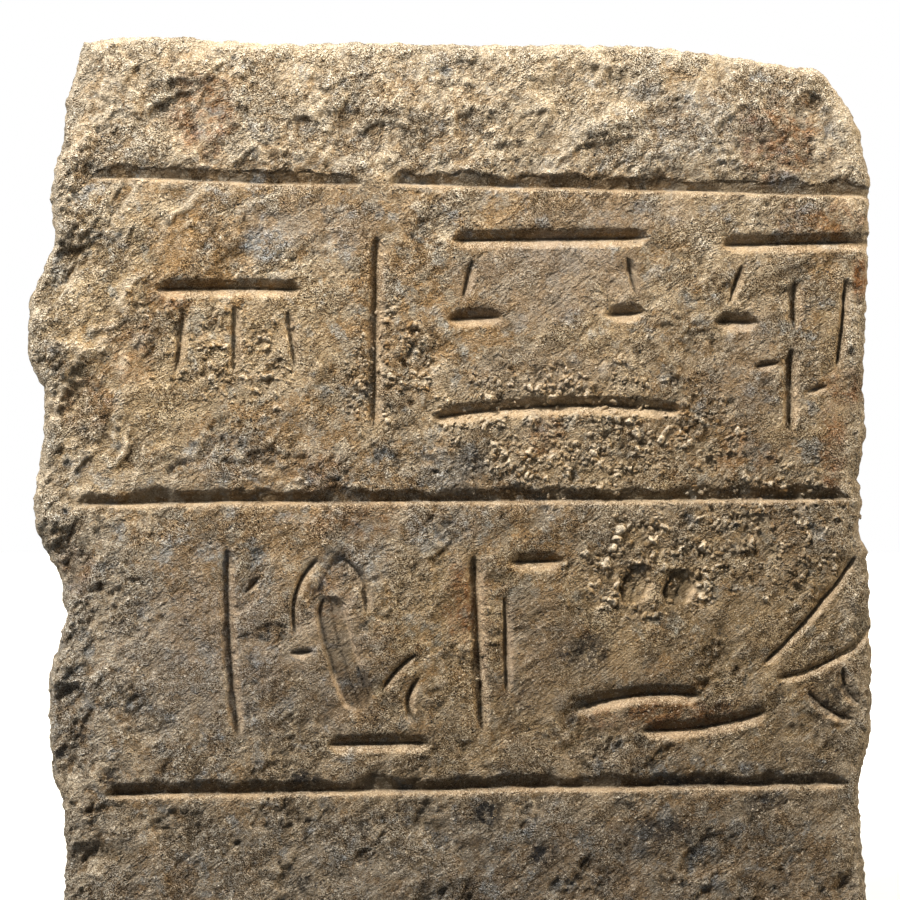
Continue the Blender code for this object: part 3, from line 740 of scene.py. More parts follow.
def stone_charts(block):
    """The face's charts: how far it lies behind the foremost plane, where each stain, painted shade and
    painted highlight lie, and where the crust lies.

    The rough band and the broken margins are flaked, and the field between them is dressed. Cuts are sunk
    into that, and their walls are smoother than the ground round them.
    """
    x, z = chart_places(block)
    left, right, top = edges = block_edges(x, z, block)
    broad = layered_noise((x, z), *BROAD_NOISE)
    rough_line = line_height(x, RULED_LINES[1], block, 901)[0]
    upper = eased(z - rough_line, 0, 0.006)
    margin = 1 - eased(x - left + 0.012 * broad, 0.010, 0.045)
    right_margin = 1 - eased(right - x + 0.004 * broad, 0.003, 0.014)
    broken = np.clip(upper + margin + right_margin, 0, 1)
    smooth = patch_mask(SMOOTH_PATCHES, x, z, block, 94)
    crust = patch_mask(CRUST_PATCHES, x, z, block, 50)
    crust *= eased(layered_noise((x, z), *CRUST_EDGE_NOISE), -0.45, 0.15)

    flaked = flaked_ground(x, z, block)
    dressed, uneven = dressed_ground(x, z, smooth, crust, block)
    ground = broken * (0.85 + 0.6 * margin) * flaked + (1 - broken) * dressed + uneven
    swelling, ridges, pits = crust_growth(x, z)
    stray_pits = scattered_domes((x, z), 0.0085, 74, 0.16) * eased(broad, -0.4, 0.3)
    ruled = ruled_lines(x, z, block)
    cut, valley, lit = np.maximum(strokes(x, z, block), ruled)
    inside = eased(cut, 0.0003, 0.0012)
    # Painted shade on the broad upper wall of each ruled line, leaving out its lit lower wall.
    painted_wedge_shade = eased(ruled[0], 0.0002, 0.0010) * (1 - ruled[2])

    recess = edge_falls(x, z, edges, block)
    fronts, crests = flake_fronts(x, z, block)
    recess += 0.0007 * np.clip(broad, 0, 1) + fronts
    recess += ground + 0.85 * inside * (blurred(ground, 0.0035) - ground)
    pitted = CRUST_BED * crust + CRUST_PIT_DEPTH * pits * crust + STRAY_PIT_DEPTH * stray_pits * (1 - crust)
    recess += pitted * (1 - inside)
    growth = crust * (1 - 0.7 * inside) * (1 - pits)
    recess += cut * (1 + 0.09 * smooth_noise((x, z / 5), 0.0017, 78))
    recess = np.maximum(recess, 0)

    charts = {
        "recess": recess,
        "thickness": block.crust_height * (growth * swelling - 0.33),
        "crust": crust,
        "ridge": ridges * crust * (1 - 0.8 * inside),
        "cut": inside,
        "lit": lit,
        "rough": np.clip(0.5 + 0.5 * broken, 0, 1) * (1 - inside),
        "warm": patch_mask(WARM_PATCHES, x, z, block, 92),
        "smooth": smooth,
        "rust": patch_mask(RUST_PATCHES, x, z, block, 80),
        "dark": patch_mask(DARK_PATCHES, x, z, block, 84),
        "grey": patch_mask(GREY_PATCHES, x, z, block, 88),
    }
    uncut = recess - cut
    raised = blurred(uncut, 0.0030) - uncut
    # Painted shade: darker in hollows, on the cuts' shaded walls, along the valleys and in the crust's pits.
    hollow = 0.45 * np.clip(-raised / 0.0007, 0, 1) + 0.40 * inside * (1 - lit) + 0.42 * painted_wedge_shade + valley
    charts["hollow"] = np.clip(hollow + 0.75 * crust * eased(pits, 0.35, 0.8), 0, 1)
    # Paler at rims, raised spots, flake crests and the rough band: partly wear, partly painted highlight.
    rim = np.maximum(1 - (top - z) / 0.009, 0.7 * (1 - (x - left) / 0.010))
    rim = np.maximum(rim, 1 - (right - x) / 0.016)
    worn_and_lit = np.clip(raised / 0.0006, 0, 1) * 0.75 * (1 - inside) + 0.20 * upper
    charts["pale"] = np.clip(worn_and_lit + np.clip(rim, 0, 1) + 0.8 * crests + 0.2 * crust, 0, 1)
    # Darker towards the bottom and the right: partly soil, partly painted falloff of the light.
    charts["soil"] = eased(z / block.height + 0.1 * broad - 0.42 * x / block.width, 0.88, -0.05)
    return charts


def charts_of(block):
    """The charts for these settings, drawn only the first time they are asked for."""
    key = tuple(getattr(block, name) for name in block.__annotations__)
    if key not in drawn_charts:
        drawn_charts[key] = stone_charts(block)
    return drawn_charts[key]


def side_roughness(along, behind, block, seed):
    """How far a broken side has lost stone at each place, from scars of three sizes and fine noise."""
    places = (along, behind)
    rough = block.side_scars * scallops(places, 0.034, seed)
    rough += 0.40 * block.side_scars * scallops(places, 0.014, seed + 10)
    rough += 0.0006 * layered_noise(places, 0.008, seed + 20, 2, 0.6)
    return rough


def shaped(u, depth, v, charts, block):
    """Where the points of a unit block go, with u across, depth from the face to the back, and v up.

    x and z are drawn in from the broken edges, by a worn arris, a lean and the sides' own roughness. That
    fades towards the middle as the sixth power of u and v. y is the depth plus the face's recess, which fades
    as the square of what is left of the depth.
    """
    behind = depth * block.thickness
    x, z = (u - 0.5) * block.width, v * block.height
    inset = fall(behind, FRONT_ARRIS, FRONT_ARRIS_RUN)
    inset = inset + fall(block.thickness - behind, BACK_ARRIS, BACK_ARRIS_RUN)
    inside = np.clip(behind - FRONT_ARRIS_RUN, 0, None) / (block.thickness - FRONT_ARRIS_RUN)
    inset = inset + inside * block.side_lean
    ramp = np.clip(inside * 4, 0, 1) * (1 - 0.5 * eased(depth, 0.93, 1.0))

    across = block_edges(x, z, block)[2]
    drop = block.height - across + inset + ramp * side_roughness(x, behind, block, 300)
    chips = 0.0012 * layered_noise((x, behind), 0.009, 340, 4, 0.6)
    z = z - drop * v**WOBBLE_FADE + chips * v**CHIP_FADE
    left, right, _ = block_edges(x, z, block)
    left_in = left + block.width / 2 + inset + ramp * side_roughness(z, behind, block, 400)
    right_in = block.width / 2 - right + inset + ramp * side_roughness(z, behind, block, 500)
    left_in += 0.0014 * layered_noise((z, behind), 0.009, 440, 4, 0.6) * (1 - u) ** (CHIP_FADE - WOBBLE_FADE)
    right_in += 0.0011 * layered_noise((z, behind), 0.007, 540, 4, 0.6) * u ** (CHIP_FADE - WOBBLE_FADE)
    x = x + left_in * (1 - u) ** WOBBLE_FADE - right_in * u**WOBBLE_FADE
    x = np.clip(x, -block.width / 2, block.width / 2)

    y = behind - block.thickness / 2 + chart_value(charts["recess"], x, z, block) * (1 - depth) ** RECESS_FADE
    sawn = 0.0004 * np.abs(layered_noise((x / 14, z + 0.05 * x), 0.010, 600, 3))
    y = y - (sawn + 0.0003 * np.clip(layered_noise((x, z), 0.012, 601, 3), 0, 1)) * eased(depth, 0.97, 1)
    return np.stack([x, y, np.clip(z, 0, block.height)], 1)


def block_lattice(columns, rows):
    """A closed box of lattice points and faces: (points as whole numbers, faces as lists of point numbers).

    The face and the sides are fine. The back has only every fourth column and row, and the last step of each
    side joins the two with faces of seven corners. A side's faces run along its first direction, then its
    second, and the first crossed with the second points out of the box.
    """
    size = (columns + 1, DEPTH_STEPS + 1, rows + 1)

    def number(i, j, k):
        return (i * size[1] + j) * size[2] + k

    def patch(order, level, first, second):
        a, b = np.meshgrid(first[:-1], second[:-1], indexing="ij")
        a_next, b_next = np.meshgrid(first[1:], second[1:], indexing="ij")
        corners = []
        for p, q in ((a, b), (a_next, b), (a_next, b_next), (a, b_next)):
            spot = {order[0]: p, order[1]: q, order[2]: np.full(p.shape, level)}
            corners.append(number(spot["x"], spot["y"], spot["z"]).ravel())
        return np.stack(corners, 1)

    i, j, k = np.arange(columns + 1), np.arange(DEPTH_STEPS), np.arange(rows + 1)
    coarse_i, coarse_k = i[::BACK_STRIDE], k[::BACK_STRIDE]
    quads = [
        patch("xzy", 0, i, k),
        patch("zxy", DEPTH_STEPS, coarse_k, coarse_i),
        patch("zyx", 0, k, j),
        patch("yzx", columns, j, k),
        patch("yxz", 0, j, i),
        patch("xyz", rows, i, j),
    ]
    near, back = DEPTH_STEPS - 1, DEPTH_STEPS
    joins = []
    for fine, turned, at in ((i, True, 0), (i, False, rows), (k, False, 0), (k, True, columns)):
        starts = fine[:-1:BACK_STRIDE]
        run = starts[:, None] + np.arange(BACK_STRIDE + 1)[None, :]
        ends = run[:, [-1, 0]]
        if fine is i:
            strip = np.hstack([number(run, near, at), number(ends, back, at)])
        else:
            strip = np.hstack([number(at, near, run), number(at, back, ends)])
        joins.append(strip[:, ::-1] if turned else strip)
    used, inverse = np.unique(np.concatenate([part.ravel() for part in quads + joins]), return_inverse=True)
    loops, corner_counts, start = [], [], 0
    for part in quads + joins:
        loops.append(inverse[start:start + part.size])
        corner_counts.append(np.full(len(part), part.shape[1]))
        start += part.size
    places = np.stack([used // (size[1] * size[2]), used // size[2] % size[1], used % size[2]], 1)
    return places, np.concatenate(loops), np.concatenate(corner_counts)


def new_mesh(name, points, loops, corner_counts):
    """A mesh made from whole arrays: its points, its faces' corners in a row, and how many each face has."""
    mesh = bpy.data.meshes.new(name)
    mesh.vertices.add(len(points))
    mesh.vertices.foreach_set("co", np.ascontiguousarray(points, np.float32).ravel())
    mesh.loops.add(len(loops))
    mesh.loops.foreach_set("vertex_index", loops.astype(np.int32))
    mesh.polygons.add(len(corner_counts))
    starts = np.concatenate([[0], np.cumsum(corner_counts)[:-1]])
    mesh.polygons.foreach_set("loop_start", starts.astype(np.int32))
    mesh.update(calc_edges=True)
    return mesh


def new_object(name, mesh):
    """An object in the scene's own collection, at the origin."""
    made = bpy.data.objects.new(name, mesh)
    bpy.context.scene.collection.objects.link(made)
    return made


def thinned(made, target):
    """Replaces the object's mesh by one of about this many triangles, the small ones where it bends most."""
    corners = np.zeros(len(made.data.polygons), np.int32)
    made.data.polygons.foreach_get("loop_total", corners)
    modifier = made.modifiers.new("thinned", "DECIMATE")
    modifier.ratio = target / int((corners - 2).sum())
    evaluated = made.evaluated_get(bpy.context.evaluated_depsgraph_get())
    mesh = bpy.data.meshes.new_from_object(evaluated)
    made.modifiers.clear()
    old = made.data
    made.data = mesh
    bpy.data.meshes.remove(old)
    mesh.name = made.name


def mesh_points(mesh):
    """The mesh's points as three columns."""
    points = np.zeros(len(mesh.vertices) * 3, np.float32)
    mesh.vertices.foreach_get("co", points)
    return points.reshape(-1, 3).astype(float)


def store(mesh, name, values):
    """Keeps one number for each point of the mesh under this name, in place of any that it had."""
    kept = mesh.attributes.get(name) or mesh.attributes.new(name, "FLOAT", "POINT")
    kept.data.foreach_set("value", values.astype(np.float32))


def mark_stains_and_painted_light(mesh, charts, block):
    """Stores the strength of each stain and of the painted shade and highlight at each point. On the sides
    and the back the face's charts fade out.
    """
    x, y, z = mesh_points(mesh).T
    lost = y + block.thickness / 2 - chart_value(charts["recess"], x, z, block)
    facing = 1 - eased(lost, 0.004, 0.016)
    off_back = eased(y, block.thickness / 2 - 0.001, block.thickness / 2 - 0.004)
    for name in STAINS_AND_PAINTED_LIGHT:
        strength = chart_value(charts[name], x, z, block)
        if name != "soil":
            strength = strength * facing
        if name == "rough":
            strength = strength + 0.7 * (1 - facing) * off_back
        store(mesh, name, strength)


class Nodes:
    """Adds nodes to one material and links them: every method returns a socket to use further on."""

    def __init__(self, tree):
        self.tree = tree
        self.place = tree.nodes.new("ShaderNodeTexCoord").outputs["Object"]

    def link(self, socket, value):
        if isinstance(value, bpy.types.NodeSocket):
            self.tree.links.new(value, socket)
        else:
            socket.default_value = value

    def noise(self, size, detail=3.0, roughness=0.55, stretch=None, kind="FBM"):
        """Noise with features of about this size in metres, drawn out up a slope: (angle, how many times)."""
        place = self.place
        if stretch:
            mapping = self.tree.nodes.new("ShaderNodeMapping")
            mapping.vector_type = "TEXTURE"
            mapping.inputs["Rotation"].default_value = (0.0, -stretch[0], 0.0)
            mapping.inputs["Scale"].default_value = (stretch[1], 1.0, 1.0)
            self.tree.links.new(place, mapping.inputs["Vector"])
            place = mapping.outputs["Vector"]
        made = self.tree.nodes.new("ShaderNodeTexNoise")
        made.noise_type = kind
        self.tree.links.new(place, made.inputs["Vector"])
        made.inputs["Scale"].default_value = 1 / size
        made.inputs["Detail"].default_value = detail
        made.inputs["Roughness"].default_value = roughness
        return made.outputs["Fac"]

    def cells(self, size):
        """Distance from the nearest of many scattered points, about this far apart."""
        made = self.tree.nodes.new("ShaderNodeTexVoronoi")
        self.tree.links.new(self.place, made.inputs["Vector"])
        made.inputs["Scale"].default_value = 1 / size
        return made.outputs["Distance"]

    def attribute(self, name):
        made = self.tree.nodes.new("ShaderNodeAttribute")
        made.attribute_name = name
        return made.outputs["Fac"]

    def between(self, value, low, high, to_low=0.0, to_high=1.0):
        """The value eased from one range to another."""
        made = self.tree.nodes.new("ShaderNodeMapRange")
        made.interpolation_type = "SMOOTHSTEP"
        for name, number in zip(("From Min", "From Max", "To Min", "To Max"), (low, high, to_low, to_high)):
            made.inputs[name].default_value = number
        self.link(made.inputs["Value"], value)
        return made.outputs["Result"]

    def math(self, operation, first, second, third=0.0):
        made = self.tree.nodes.new("ShaderNodeMath")
        made.operation = operation
        for socket, value in zip(made.inputs, (first, second, third)):
            self.link(socket, value)
        return made.outputs["Value"]

    def blend(self, factor, first, second, mode="MIX"):
        """One colour laid over another by this factor."""
        made = self.tree.nodes.new("ShaderNodeMix")
        made.data_type = "RGBA"
        made.blend_type = mode
        self.link(made.inputs["Factor"], factor)
        self.link(made.inputs["A"], first)
        self.link(made.inputs["B"], second)
        return made.outputs["Result"]

    def tinted(self, factor, colour_now, tint):
        """The colour, multiplied by the tint as far as the factor says."""
        return self.blend(factor, colour_now, self.blend(1.0, colour_now, opaque(tint), "MULTIPLY"))

    def calmed(self, stain, calming):
        """1, less this much where the stain is full."""
        return self.math("MULTIPLY_ADD", self.attribute(stain), -calming, 1.0)


def opaque(rgb):
    """The colour with full cover."""
    return (*rgb, 1.0)


def stone_noises(n, finish):
    """The noises that the colour and the relief share, each as (size, detail, roughness, slope and stretch).

    level counts ledges that climb to the right, and step is how far up its ledge a place is.
    """
    noises = {
        "broad": n.noise(0.055, 3.0),
        "middle": n.noise(0.013, 4.0, 0.65),
        "blotch": n.noise(0.0075, 4.0, 0.72),
        "fine": n.noise(0.0030, 3.0, 0.65),
        "grain": n.noise(finish.grain_size, 2.0, 0.7),
        "sand": n.noise(finish.grain_size * 0.5, 1.0),
        "level": n.math("MULTIPLY", n.noise(0.012, 4.0, 0.62, (math.radians(50), 2.0)), 9.0),
    }
    noises["step"] = n.math("FRACT", noises["level"], 0.0)
    return noises


def stone_colour(n, finish, noises, calm, grainy):
    """The stone's colour: clean stone, then patches, painted highlight, stains, soil and painted falloff
    shade, painted shade in hollows, flecks, painted highlight on lit walls, and grains, in that order.

    Each coat covers as far as its pattern says, which is eased from one range to another.
    """
    broad, middle, blotch, fine = (noises[name] for name in ("broad", "middle", "blotch", "fine"))
    now = n.blend(n.between(broad, 0.42, 0.58), opaque(finish.warm_stone), opaque(finish.cool_stone))
    mottled = n.calmed("smooth", 0.6)
    streak = n.noise(0.007, 4.0, 0.65, (math.radians(40), 2.4))
    gathered = n.math("MULTIPLY_ADD", broad, 0.9, blotch)
    for pattern, low, high, at_low, at_high, coat in (
        (middle, 0.50, 0.66, 0.0, 0.6, finish.pale_stone),
        (gathered, 0.93, 1.06, 0.0, 0.8, finish.ochre),
        (streak, 0.50, 0.64, 0.0, 0.65, finish.brown),
        (middle, 0.35, 0.46, 0.7, 0.0, finish.grey_stain),
    ):
        cover = n.math("MULTIPLY", n.between(pattern, low, high, at_low, at_high), mottled)
        now = n.blend(cover, now, opaque(coat))
    now = n.tinted(n.attribute("warm"), now, WARMING)
    # Painted highlight along the ledges' crests, and the pale chart: wear and painted highlight.
    crest = n.math("MULTIPLY", n.between(noises["step"], 0.0, 0.18, 0.65, 0.0), n.attribute("rough"))
    rubbed_and_lit = n.math("MULTIPLY_ADD", n.attribute("pale"), 0.8, crest)
    now = n.blend(rubbed_and_lit, now, opaque(finish.pale_stone))

    ragged = n.math("ADD", n.math("MULTIPLY", fine, 0.6), n.math("MULTIPLY", blotch, 0.6))
    for stain, pattern, low, high, at_low, at_high, coat in (
        ("rust", ragged, 0.50, 0.72, 0.12, 0.97, finish.rust_stain),
        ("grey", fine, 0.35, 0.60, 0.25, 0.85, finish.grey_stain),
        ("dark", fine, 0.46, 0.64, 1.0, 0.1, finish.dark_stain),
    ):
        cover = n.math("MULTIPLY", n.attribute(stain), n.between(pattern, low, high, at_low, at_high))
        now = n.blend(cover, now, opaque(coat))
    # Darker towards the bottom and the right: partly soil, partly painted falloff of the light.
    now = n.tinted(n.attribute("soil"), now, finish.soil)
    # Painted shade in the hollows, the cuts, the valleys and the crust's pits.
    now = n.tinted(n.math("MULTIPLY", n.attribute("hollow"), 0.85), now, HOLLOW_SHADE)

    fleck = n.noise(0.0013, 2.0)
    dark_fleck = n.math("MULTIPLY", n.between(fleck, 0.30, 0.39, 1.0, 0.0), n.between(middle, 0.4, 0.6))
    pale_cover = n.math("MULTIPLY", n.between(fleck, 0.62, 0.70, 0.0, 0.5), calm)
    now = n.blend(pale_cover, now, opaque(finish.pale_stone))
    now = n.blend(n.math("MULTIPLY", dark_fleck, calm), now, opaque(finish.dark_stain))
    # Painted highlight on the lit walls of the cuts.
    now = n.blend(n.math("MULTIPLY", n.attribute("lit"), 0.60), now, opaque(finish.lit_wall_highlight))

    shade = 1.0
    for pattern, low, high, at_low, at_high in (
        (noises["grain"], 0.3, 0.7, 0.63, 1.32),
        (fine, 0.3, 0.7, 0.76, 1.24),
        (noises["sand"], 0.28, 0.72, 0.51, 1.50),
    ):
        shade = n.math("MULTIPLY", shade, n.between(pattern, low, high, at_low, at_high))
    shade = n.math("MULTIPLY_ADD", n.math("SUBTRACT", shade, 1.0), grainy, 1.0)
    grains = n.tree.nodes.new("ShaderNodeCombineColor")
    for socket, power in zip(grains.inputs, GRAIN_TINT_POWERS):
        n.link(socket, n.math("POWER", shade, power))
    now = n.blend(1.0, now, grains.outputs["Color"], "MULTIPLY")
    return n.tinted(n.attribute("smooth"), now, DULLING)


def stone_relief(n, noises, calm, grainy):
    """The stone's height: grains, pits, scratches, blotches, crumbly crust and ledges, calmer in the cuts."""
    pitted = n.between(n.cells(0.0024), 0.05, 0.45)
    scratch = n.noise(0.0010, 2.0, 0.6, (math.radians(40), 6.0))
    crumbly = n.noise(0.0026, 3.0, 0.7, kind="RIDGED_MULTIFRACTAL")
    crumb = n.math("MULTIPLY", n.math("MULTIPLY", crumbly, 0.6), n.attribute("crust"))
    height = n.math("ADD", n.math("MULTIPLY", noises["grain"], 2.6), n.math("MULTIPLY", noises["fine"], 2.9))
    height = n.math("MULTIPLY", n.math("MULTIPLY_ADD", noises["sand"], 0.9, height), grainy)
    height = n.math("MULTIPLY_ADD", pitted, 0.3, height)
    height = n.math("MULTIPLY_ADD", scratch, n.math("MULTIPLY_ADD", n.attribute("soil"), 0.9, 0.8), height)
    height = n.math("MULTIPLY_ADD", noises["blotch"], 1.2, n.math("ADD", height, crumb))
    ledge = n.math("ADD", n.math("FLOOR", noises["level"], 0.0), n.between(noises["step"], 0.86, 1.0))
    height = n.math("MULTIPLY_ADD", ledge, n.math("MULTIPLY", n.attribute("rough"), 0.42), height)
    return n.math("MULTIPLY", height, calm)


def limestone_material(finish):
    """Sandy limestone with patches, grains, stains, painted shade and painted highlight from the charts, and
    a grainy relief.

    Grainy and smooth places take turns, and the grains are fainter in the cuts, on the crust and where the
    stone was dressed smooth.
    """
    material = bpy.data.materials.new("weathered_limestone")
    material.use_nodes = True
    shader = material.node_tree.nodes["Principled BSDF"]
    shader.inputs["Roughness"].default_value = 0.93
    shader.inputs["Specular IOR Level"].default_value = 0.18
    n = Nodes(material.node_tree)
    noises = stone_noises(n, finish)
    calm = n.calmed("cut", 0.35)
    grainy = n.between(n.noise(0.014, 4.0, 0.65, (math.radians(40), 1.5)), 0.42, 0.60, 0.60, 1.50)
    for calmer in (n.calmed("crust", 0.6), n.calmed("smooth", 0.4), calm):
        grainy = n.math("MULTIPLY", grainy, calmer)
    n.link(shader.inputs["Base Color"], stone_colour(n, finish, noises, calm, grainy))
    bump = n.tree.nodes.new("ShaderNodeBump")
    bump.inputs["Strength"].default_value = 1.0
    bump.inputs["Distance"].default_value = finish.grain_relief
    n.link(bump.inputs["Height"], stone_relief(n, noises, calm, grainy))
    n.link(shader.inputs["Normal"], bump.outputs["Normal"])
    return material


def shared_material(finish):
    """The limestone material, made once for every piece."""
    return bpy.data.materials.get("weathered_limestone") or limestone_material(finish)


def finish_surface(made, context):
    """Smooths the shading between the piece's faces and lays the limestone on it."""
    made.data.shade_smooth()
    made.data.materials.clear()
    made.data.materials.append(shared_material(context.scene.relief_finish))


class RELIEF_OT_stone(bpy.types.Operator):
    """Make the carved and weathered block"""

    bl_idname = "relief.stone"
    bl_label = "Stone"

    def execute(self, context):
        block = context.scene.relief_block
        charts = charts_of(block)
        columns = BACK_STRIDE * round(block.width / FACE_STEP / BACK_STRIDE)
        rows = BACK_STRIDE * round(block.height / FACE_STEP / BACK_STRIDE)
        places, loops, corner_counts = block_lattice(columns, rows)
        u, v = places[:, 0] / columns, places[:, 2] / rows
        depth = (places[:, 1] / DEPTH_STEPS) ** DEPTH_CROWDING
        points = shaped(u, depth, v, charts, block)
        stone = new_object("carved_stone", new_mesh("carved_stone", points, loops, corner_counts))
        thinned(stone, block.triangles)
        mark_stains_and_painted_light(stone.data, charts, block)
        finish_surface(stone, context)
        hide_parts("relief_panel")
        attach(stone, "root")
        return {"FINISHED"}


class RELIEF_OT_crumbs(bpy.types.Operator):
    """Make the loose crumbs of crust that cling to the face"""

    bl_idname = "relief.crumbs"
    bl_label = "Crumbs"

    def execute(self, context):
        block = context.scene.relief_block
        charts = charts_of(block)
        x, z = chart_places(block)
        chance = np.random.default_rng(7)
        likely = (charts["crust"] * (0.08 + charts["ridge"] ** 2)).ravel()
        picked = chance.choice(likely.size, block.crumbs, replace=False, p=likely / likely.sum())
        size = CRUMB_SIZE + CRUMB_GROWTH * chance.random(block.crumbs) ** 3
        middle = np.stack([
            x.ravel()[picked],
            charts["recess"].ravel()[picked] - block.thickness / 2,
            z.ravel()[picked],
        ], 1)
        points, loops, corner_counts = lumps(middle, size, chance)
        crumbs = new_object("crust_crumbs", new_mesh("crust_crumbs", points, loops, corner_counts))
        mark_stains_and_painted_light(crumbs.data, charts, block)
        per_lump = 2 + LUMP_SIDES * LUMP_RINGS
        paleness = np.repeat(0.9 * chance.random(block.crumbs) ** 2, per_lump)
        store(crumbs.data, "pale", paleness)
        # The crumbs carry no painted shade.
        store(crumbs.data, "hollow", 0 * paleness)
        finish_surface(crumbs, context)
        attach(crumbs, "root")
        return {"FINISHED"}


def lumps(middle, size, chance):
    """Many small closed lumps: (points, face corners in a row, corners per face).

    Each is a ball with a pole at either end and a few rings, whose points lie at radius size (0.7 to 1.3). It
    is drawn out to up to twice its size one way along the face, by an angle that differs from lump to lump.
    """
    turn = np.arange(LUMP_SIDES) / LUMP_SIDES * 2 * math.pi
    tilt = (np.arange(LUMP_RINGS) + 1) / (LUMP_RINGS + 1) * math.pi
    ring = np.stack([
        np.outer(np.sin(tilt), np.cos(turn)),
        np.outer(np.sin(tilt), np.sin(turn)),
        np.outer(np.cos(tilt), np.ones(LUMP_SIDES)),
    ], 2).reshape(-1, 3)
    ball = np.vstack([[0, 0, 1], ring, [0, 0, -1]])
    count, per_lump = len(middle), len(ball)
    radius = size[:, None, None] * (0.7 + 0.6 * chance.random((count, per_lump, 1)))
    shape = ball[None] * radius
    long, angle = 1 + chance.random((count, 1)), math.pi * chance.random((count, 1))
    along, aside = shape[:, :, 0] * long, shape[:, :, 2] * 0.85
    points = middle[:, None, :] + np.stack([
        along * np.cos(angle) - aside * np.sin(angle),
        shape[:, :, 1],
        along * np.sin(angle) + aside * np.cos(angle),
    ], 2)

    side = np.arange(LUMP_SIDES)
    after = (side + 1) % LUMP_SIDES
    last = 1 + (LUMP_RINGS - 1) * LUMP_SIDES
    caps = np.concatenate([
        np.stack([side * 0, 1 + side, 1 + after], 1),
        np.stack([side * 0 + per_lump - 1, last + after, last + side], 1),
    ])
    bands = np.concatenate([
        np.stack([1 + r * LUMP_SIDES + side, 1 + (r + 1) * LUMP_SIDES + side,
                  1 + (r + 1) * LUMP_SIDES + after, 1 + r * LUMP_SIDES + after], 1)
        for r in range(LUMP_RINGS - 1)
    ])
    offset = (np.arange(count) * per_lump)[:, None, None]
    loops = np.concatenate([(caps[None] + offset).ravel(), (bands[None] + offset).ravel()])
    corner_counts = np.concatenate([np.full(count * len(caps), 3), np.full(count * len(bands), 4)])
    return points.reshape(-1, 3), loops, corner_counts


def sheet(x, z, front, back, kept):
    """A closed crust over the kept cells of a grid: (points, face corners in a row, corners per face).

    Its front and its back have a point for each grid place, and a wall joins them along every side of a kept
    cell that has no kept cell beyond it. Cells that touch only at a corner are first joined through a third.
    """
    kept = np.pad(kept, 1)
    for _ in range(3):
        rising = kept[:-1, :-1] & kept[1:, 1:] & ~kept[:-1, 1:] & ~kept[1:, :-1]
        falling = kept[:-1, 1:] & kept[1:, :-1] & ~kept[:-1, :-1] & ~kept[1:, 1:]
        kept[:-1, 1:] |= rising
        kept[:-1, :-1] |= falling
    inner = kept[1:-1, 1:-1]
    number = np.arange(x.size).reshape(x.shape)
    corners = (number[:-1, :-1], number[:-1, 1:], number[1:, 1:], number[1:, :-1])
    beyond = (kept[:-2, 1:-1], kept[1:-1, 2:], kept[2:, 1:-1], kept[1:-1, :-2])
    face = np.stack([corner[inner] for corner in corners], 1)
    quads = [face, face[:, ::-1] + x.size]
    for side in range(4):
        open_side = inner & ~beyond[side]
        start, end = corners[side][open_side], corners[(side + 1) % 4][open_side]
        quads.append(np.stack([end, start, start + x.size, end + x.size], 1))
    used, loops = np.unique(np.concatenate(quads), return_inverse=True)
    both = np.concatenate([front.ravel(), back.ravel()])
    points = np.stack([np.tile(x.ravel(), 2), both, np.tile(z.ravel(), 2)], 1)
    return points[used], loops.ravel(), np.full(loops.size // 4, 4)


class RELIEF_OT_crust(bpy.types.Operator):
    """Make the pale mineral crust that grows on parts of the face"""

    bl_idname = "relief.crust"
    bl_label = "Crust"

    def execute(self, context):
        block = context.scene.relief_block
        charts = charts_of(block)
        x, z = chart_places(block)
        thickness = charts["thickness"]
        grown = thickness > LEAST_CRUST
        kept = grown[:-1, :-1] | grown[1:, :-1] | grown[:-1, 1:] | grown[1:, 1:]
        ground = charts["recess"] - block.thickness / 2
        front = np.maximum(ground - thickness, -block.thickness / 2 - block.crust_height)
        points, loops, corner_counts = sheet(x, z, front, ground + CRUST_ROOT, kept)
        crust = new_object("mineral_crust", new_mesh("mineral_crust", points, loops, corner_counts))
        thinned(crust, block.triangles)
        mark_stains_and_painted_light(crust.data, charts, block)
        at_x, _, at_z = mesh_points(crust.data).T
        tips = chart_value(thickness, at_x, at_z, block) / block.crust_height
        # Crust paler at its thick tips, its tone and painted highlight; painted shade where thin, between
        # lumps.
        store(crust.data, "pale", 1.25 * eased(tips, 0.0, 0.55))
        store(crust.data, "hollow", 0.35 * eased(tips, 0.25, 0.0))
        store(crust.data, "soil", 0.45 * chart_value(charts["soil"], at_x, at_z, block))
        finish_surface(crust, context)
        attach(crust, "root")
        return {"FINISHED"}


def add_floor(studio):
    """A pale floor under the block, which glows a little and lights nothing."""
    corners = FLOOR_HALF * np.array([(-1, -1, 0), (1, -1, 0), (1, 1, 0), (-1, 1, 0)])
    floor = new_object("floor", new_mesh("floor", corners, np.arange(4), np.array([4])))
    material = bpy.data.materials.new("pale_floor")
    material.use_nodes = True
    shader = material.node_tree.nodes["Principled BSDF"]
    shader.inputs["Base Color"].default_value = opaque(studio.floor_colour)
    shader.inputs["Roughness"].default_value = 0.9
    shader.inputs["Emission Color"].default_value = WHITE
    shader.inputs["Emission Strength"].default_value = FLOOR_GLOW
    floor.data.materials.append(material)
    floor.visible_diffuse = False


def add_lamps(studio, block):
    """The far lamps, each of which shines along its own -Z, and a square lamp over the top edge."""
    for name, power, turns, angle, tint in SUNS:
        light = bpy.data.lights.new(name, "SUN")
        light.energy = getattr(studio, power)
        light.angle = math.radians(angle)
        light.color = tint
        new_object(name, light).rotation_euler = [math.radians(turn) for turn in turns]
    light = bpy.data.lights.new("top_lamp", "AREA")
    light.energy = studio.top_power
    light.size, light.color = 0.30, (1.0, 0.95, 0.86)
    lamp = new_object("top_lamp", light)
    lamp.location = (-0.16, -0.30, block.height + 0.30)
    lamp.rotation_euler = (math.radians(34), 0.0, math.radians(-10))


